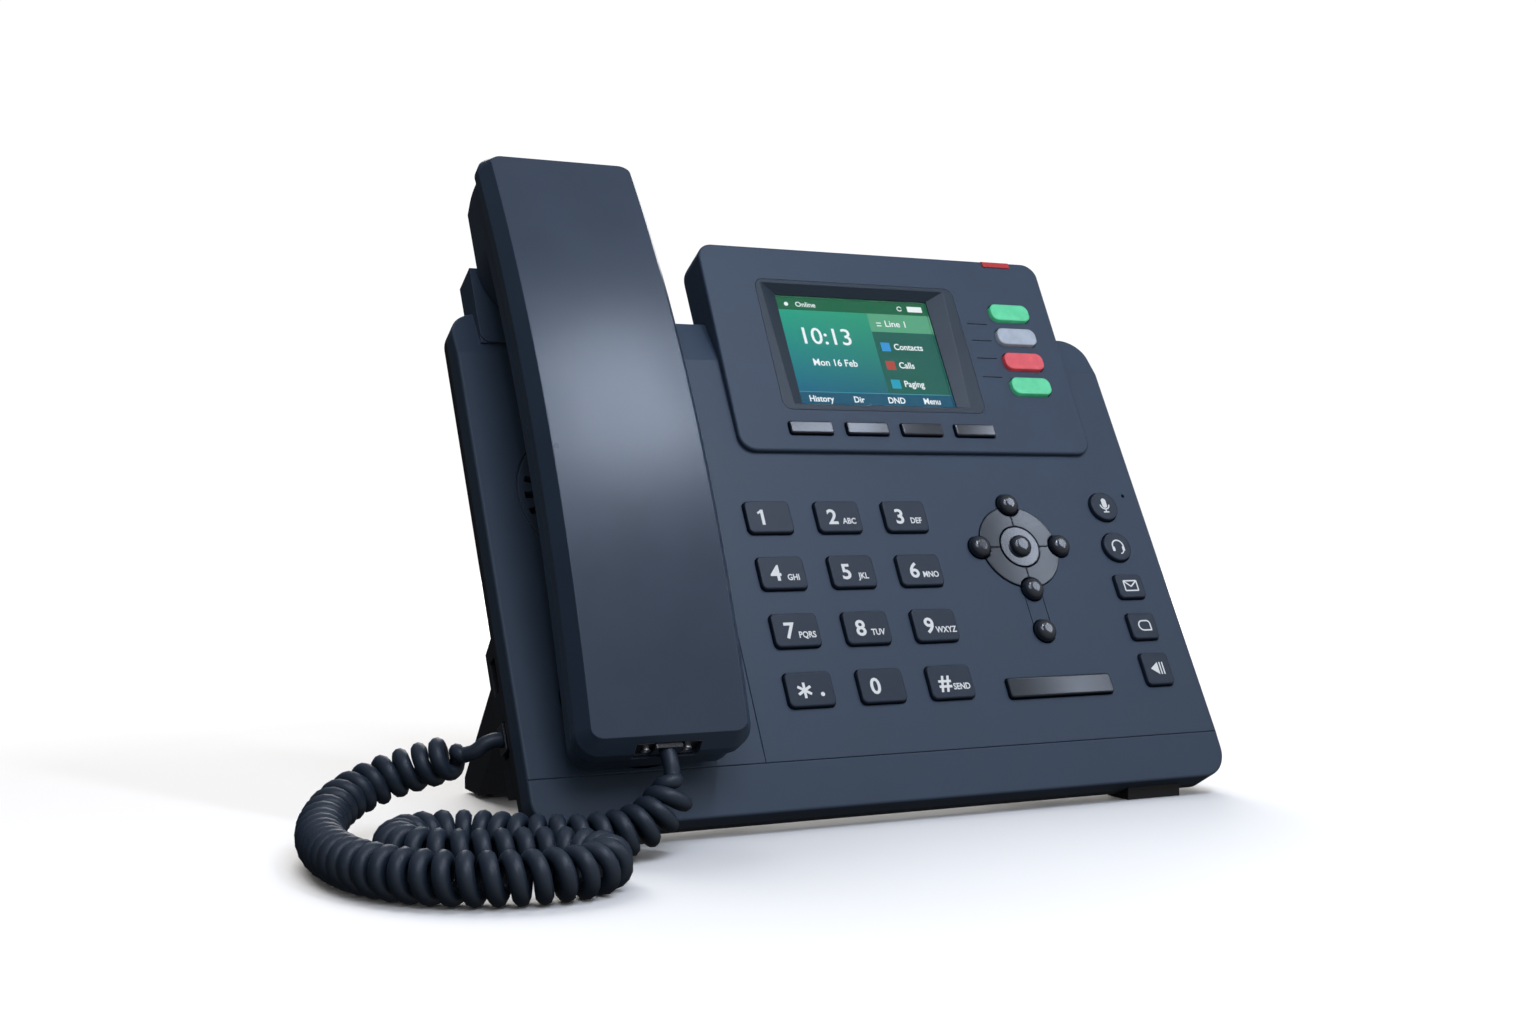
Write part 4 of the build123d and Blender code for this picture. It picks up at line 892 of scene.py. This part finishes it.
# ---------------------------------------------------------------- rows of small bars
def make_bar_row_tree():
    """Geometry nodes: a straight row of equal bars."""
    tree = bpy.data.node_groups.new("row of bars", "GeometryNodeTree")
    tree.is_modifier = True
    sockets = tree.interface
    sockets.new_socket("Geometry", in_out="INPUT", socket_type="NodeSocketGeometry")
    sockets.new_socket("Count", in_out="INPUT", socket_type="NodeSocketInt")
    sockets.new_socket("First", in_out="INPUT", socket_type="NodeSocketVector")
    sockets.new_socket("Step", in_out="INPUT", socket_type="NodeSocketVector")
    sockets.new_socket("Bar Size", in_out="INPUT", socket_type="NodeSocketVector")
    sockets.new_socket("Finish", in_out="INPUT", socket_type="NodeSocketMaterial")
    sockets.new_socket("Geometry", in_out="OUTPUT", socket_type="NodeSocketGeometry")
    entry = tree.nodes.new("NodeGroupInput")
    leave = tree.nodes.new("NodeGroupOutput")
    line = tree.nodes.new("GeometryNodeMeshLine")
    line.mode = "OFFSET"
    cube = tree.nodes.new("GeometryNodeMeshCube")
    spread = tree.nodes.new("GeometryNodeInstanceOnPoints")
    solid = tree.nodes.new("GeometryNodeRealizeInstances")
    paint = tree.nodes.new("GeometryNodeSetMaterial")
    wire(tree, (entry, "Count"), (line, "Count"))
    wire(tree, (entry, "First"), (line, "Start Location"))
    wire(tree, (entry, "Step"), (line, "Offset"))
    wire(tree, (entry, "Bar Size"), (cube, "Size"))
    wire(tree, (line, "Mesh"), (spread, "Points"))
    wire(tree, (cube, "Mesh"), (spread, "Instance"))
    wire(tree, (spread, "Instances"), (solid, "Geometry"))
    wire(tree, (solid, "Geometry"), (paint, "Geometry"))
    wire(tree, (entry, "Finish"), (paint, "Material"))
    wire(tree, (paint, "Geometry"), (leave, "Geometry"))
    return tree


BAR_ROW = make_bar_row_tree()


def bar_row(name, count, first, step, size, finish, body):
    """Row of bars in panel millimetres, made by the shared tree and left as a plain mesh."""
    holder = bpy.data.objects.new(name, bpy.data.meshes.new(name))
    scene.collection.objects.link(holder)
    modifier = holder.modifiers.new("row", "NODES")
    modifier.node_group = BAR_ROW
    values = {"Count": count, "First": first, "Step": step, "Bar Size": size, "Finish": finish}
    for item in BAR_ROW.interface.items_tree:
        if item.in_out == "INPUT" and item.name in values:
            modifier[item.identifier] = values[item.name]
    bpy.context.view_layer.update()
    depsgraph = bpy.context.evaluated_depsgraph_get()
    mesh = bpy.data.meshes.new_from_object(holder.evaluated_get(depsgraph))
    bpy.data.objects.remove(holder)
    mesh.transform(PANEL)
    piece = bpy.data.objects.new(name, mesh)
    scene.collection.objects.link(piece)
    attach(piece, body)
    return piece


SHELF_V, SOCKET_N = 33.2, -21.4
CONTACT_PITCH = 1.02
for number, centre_u in enumerate((85.0, 103.0), start=1):
    bar_row(
        f"network_contacts_{number}",
        8,
        (centre_u - 3.5 * CONTACT_PITCH, SHELF_V + 6.5, SOCKET_N + 7.6),
        (CONTACT_PITCH, 0, 0),
        (0.35, 9.0, 0.35),
        gold,
        "base",
    )

PORT_N = -12.8
for label, port_v in (("handset", 28.5), ("headset", 45.9)):
    bar_row(
        f"{label}_contacts",
        4,
        (7.5, port_v - 1.5 * CONTACT_PITCH, PORT_N + 2.6),
        (0, CONTACT_PITCH, 0),
        (6.0, 0.35, 0.35),
        gold,
        "base",
    )

# ---------------------------------------------------------------- handset's cord recess
# A thin black sheet on the recess floor, around the plug hole, darkens the recess: painted shade.
HANDSET_U, HANDSET_BOTTOM, RECESS_N = 30.7, 12.2, 15.0
RECESS_WIDTH, RECESS_HEIGHT, PLUG_HOLE = 16.8, 5.8, 7.8
SHADE_SHEET_LOW, SHADE_SHEET_HIGH = 1.38, 1.58

cutting = bmesh.new()
side_width = (RECESS_WIDTH - PLUG_HOLE) / 2
for side in (-1, 1):
    middle_u = side * (PLUG_HOLE + side_width) / 2
    add_prism(cutting, rectangle((middle_u, 0), side_width, RECESS_HEIGHT), SHADE_SHEET_LOW, SHADE_SHEET_HIGH)
recess_axes = Matrix((ALONG, OUTWARD, UPHILL)).transposed().to_4x4()
recess_place = (
    Matrix.Translation(place(HANDSET_U, HANDSET_BOTTOM, RECESS_N)) @ recess_axes @ Matrix.Scale(MM, 4)
)
finish_piece("recess_shade_sheet", cutting, recess_place, black_liner, "handset")

# ---------------------------------------------------------------- cloth behind the grille
GRILLE_CENTRE = (31.0, 91.0)
CLOTH_RADIUS, CLOTH_THICKNESS, CLOTH_N = 19.6, 0.24, -2.2
cutting = bmesh.new()
add_prism(cutting, disc((0, 0), CLOTH_RADIUS, 48), -CLOTH_THICKNESS / 2, CLOTH_THICKNESS / 2)
cloth_place = on_panel(*GRILLE_CENTRE, CLOTH_N)
finish_piece("grille_cloth", cutting, cloth_place, speaker_cone, "base")

# ---------------------------------------------------------------- curly cord
WIRE_DIAMETER = 0.004
COIL_RADIUS = 0.004
BASE_PLUG = (-0.1049, -0.01899, 0.02485)
HANDSET_PLUG = (-0.0738, -0.05101, 0.02426)
CORD_ROUTE = [
    BASE_PLUG,
    (-0.1085, -0.01899, 0.02485),
    (-0.1113, -0.0187, 0.0222),
    (-0.1135, -0.0170, 0.0215),
    (-0.1210, -0.0110, 0.0190),
    (-0.1300, -0.0070, 0.0160),
    (-0.1395, -0.0080, 0.0125),
    (-0.1470, -0.0155, 0.0095),
    (-0.1515, -0.0260, 0.0072),
    (-0.1535, -0.0385, 0.0060),
    (-0.1538, -0.0520, 0.0060),
    (-0.1515, -0.0660, 0.0060),
    (-0.1455, -0.0780, 0.0060),
    (-0.1360, -0.0870, 0.0060),
    (-0.1245, -0.0915, 0.0060),
    (-0.1135, -0.0923, 0.0060),
    (-0.1040, -0.0890, 0.0060),
    (-0.1000, -0.0805, 0.0060),
    (-0.1040, -0.0715, 0.0060),
    (-0.1135, -0.0675, 0.0060),
    (-0.1245, -0.0645, 0.0060),
    (-0.1345, -0.0595, 0.0060),
    (-0.1395, -0.0495, 0.0060),
    (-0.1360, -0.0395, 0.0060),
    (-0.1265, -0.0365, 0.0060),
    (-0.1165, -0.0415, 0.0060),
    (-0.1095, -0.0510, 0.0060),
    (-0.0995, -0.0566, 0.0060),
    (-0.0885, -0.0584, 0.0064),
    (-0.0798, -0.0576, 0.0094),
    (-0.0750, -0.0562, 0.0140),
    (-0.0738, -0.0544, 0.0191),
    (-0.0738, -0.0532, 0.0222),
    HANDSET_PLUG,
]
LEAD_BASE, LEAD_HANDSET = 0.010, 0.006
COIL_TURNS = 63
STEPS_PER_TURN = 18


def spline_points(route):
    """Points along the smooth line that the route's points steer."""
    curve = bpy.data.curves.new("route", "CURVE")
    curve.dimensions = "3D"
    spline = curve.splines.new("NURBS")
    spline.points.add(len(route) - 1)
    for point, spot in zip(spline.points, route):
        point.co = (*spot, 1.0)
    spline.order_u = 3
    spline.use_endpoint_u = True
    spline.resolution_u = 16
    holder = bpy.data.objects.new("route", curve)
    scene.collection.objects.link(holder)
    bpy.context.view_layer.update()
    depsgraph = bpy.context.evaluated_depsgraph_get()
    mesh = bpy.data.meshes.new_from_object(holder.evaluated_get(depsgraph))
    points = [vertex.co.copy() for vertex in mesh.vertices]
    bpy.data.objects.remove(holder)
    bpy.data.curves.remove(curve)
    bpy.data.meshes.remove(mesh)
    return points


def distances(points):
    """Distance of each point along the line."""
    along = [0.0]
    for before, after in zip(points, points[1:]):
        along.append(along[-1] + (after - before).length)
    return along


def carried_frames(points):
    """For each point, the line's direction and a side that never twists."""
    directions = []
    for number in range(len(points)):
        before = points[max(number - 1, 0)]
        after = points[min(number + 1, len(points) - 1)]
        directions.append((after - before).normalized())
    side = directions[0].orthogonal().normalized()
    sides = []
    for direction in directions:
        side = (side - direction * side.dot(direction)).normalized()
        sides.append(side.copy())
    return directions, sides


def eased(share):
    """Smooth step from 0 to 1."""
    share = min(max(share, 0.0), 1.0)
    return share * share * (3 - 2 * share)


def wind_helix(points):
    """Wire that leaves one plug, winds round the line, and enters the other plug."""
    along = distances(points)
    directions, sides = carried_frames(points)
    total = along[-1]
    coil_start, coil_end = LEAD_BASE, total - LEAD_HANDSET
    pitch = (coil_end - coil_start) / COIL_TURNS
    wound = []
    steps = COIL_TURNS * STEPS_PER_TURN + 24
    segment = 0
    for step in range(steps + 1):
        distance = total * step / steps
        while segment < len(along) - 2 and along[segment + 1] < distance:
            segment += 1
        share = (distance - along[segment]) / max(along[segment + 1] - along[segment], 1e-9)
        centre = points[segment].lerp(points[segment + 1], share)
        direction = directions[segment].lerp(directions[segment + 1], share).normalized()
        side = sides[segment].lerp(sides[segment + 1], share)
        side = (side - direction * side.dot(direction)).normalized()
        other = direction.cross(side)
        inside = min(distance - coil_start, coil_end - distance)
        radius = COIL_RADIUS * eased(inside / (1.2 * pitch))
        angle = 2 * math.pi * (distance - coil_start) / pitch
        wound.append(centre + radius * (math.cos(angle) * side + math.sin(angle) * other))
    return wound


def sweep_round(name, points, radius, sides_count=10):
    """Closed round tube along points."""
    directions, sides = carried_frames(points)
    cutting = bmesh.new()
    rings = []
    for point, direction, side in zip(points, directions, sides):
        other = direction.cross(side)
        ring = []
        for corner in range(sides_count):
            angle = 2 * math.pi * corner / sides_count
            outward = math.cos(angle) * side + math.sin(angle) * other
            ring.append(cutting.verts.new(point + radius * outward))
        rings.append(ring)
    for first, second in zip(rings, rings[1:]):
        for corner in range(sides_count):
            following = (corner + 1) % sides_count
            cutting.faces.new((first[corner], first[following], second[following], second[corner]))
    cutting.faces.new(rings[0][::-1])
    cutting.faces.new(rings[-1])
    bmesh.ops.recalc_face_normals(cutting, faces=cutting.faces)
    for face in cutting.faces:
        face.smooth = True
    mesh = bpy.data.meshes.new(name)
    cutting.to_mesh(mesh)
    cutting.free()
    return mesh


route_line = spline_points(CORD_ROUTE)
wire_line = wind_helix(route_line)
cord_mesh = sweep_round("handset_cord", wire_line, WIRE_DIAMETER / 2)
cord_mesh.materials.append(cord_skin)
handset_cord = bpy.data.objects.new("handset_cord", cord_mesh)
scene.collection.objects.link(handset_cord)
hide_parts("cord_coil", "cord_lead_base", "cord_lead_handset")
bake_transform(handset_cord)

# ---------------------------------------------------------------- floor
FLOOR_SIZE = 3.0
FLOOR_COLOUR = (0.88, 0.86, 0.84, 1)
FLOOR_BLEACH = 0.5
BLEACH_BEGINS, BLEACH_ENDS = 0.25, 0.80


def floor_finish():
    """Matt pale paint that shines by itself far from the middle, so that no far edge shows."""
    paint, tree, shader = new_material("pale floor")
    shader.inputs["Base Color"].default_value = FLOOR_COLOUR
    shader.inputs["Roughness"].default_value = 0.7
    shader.inputs["Specular IOR Level"].default_value = 0.2
    shader.inputs["Emission Color"].default_value = (1, 1, 1, 1)
    place_in = tree.nodes.new("ShaderNodeTexCoord")
    reach = tree.nodes.new("ShaderNodeVectorMath")
    reach.operation = "LENGTH"
    wire(tree, (place_in, "Object"), (reach, 0))
    fade = tree.nodes.new("ShaderNodeMapRange")
    fade.inputs["From Min"].default_value = BLEACH_BEGINS
    fade.inputs["From Max"].default_value = BLEACH_ENDS
    fade.inputs["To Max"].default_value = FLOOR_BLEACH
    wire(tree, (reach, "Value"), (fade, "Value"))
    wire(tree, (fade, "Result"), (shader, "Emission Strength"))
    return paint


def make_floor():
    """Square floor that carries the phone's shadow."""
    mesh = bpy.data.meshes.new("floor")
    cutting = bmesh.new()
    bmesh.ops.create_grid(cutting, x_segments=2, y_segments=2, size=FLOOR_SIZE / 2)
    cutting.to_mesh(mesh)
    cutting.free()
    mesh.materials.append(floor_finish())
    sheet = bpy.data.objects.new("floor", mesh)
    scene.collection.objects.link(sheet)
    sheet.visible_diffuse = False
    sheet.visible_glossy = False
    return sheet


floor = make_floor()
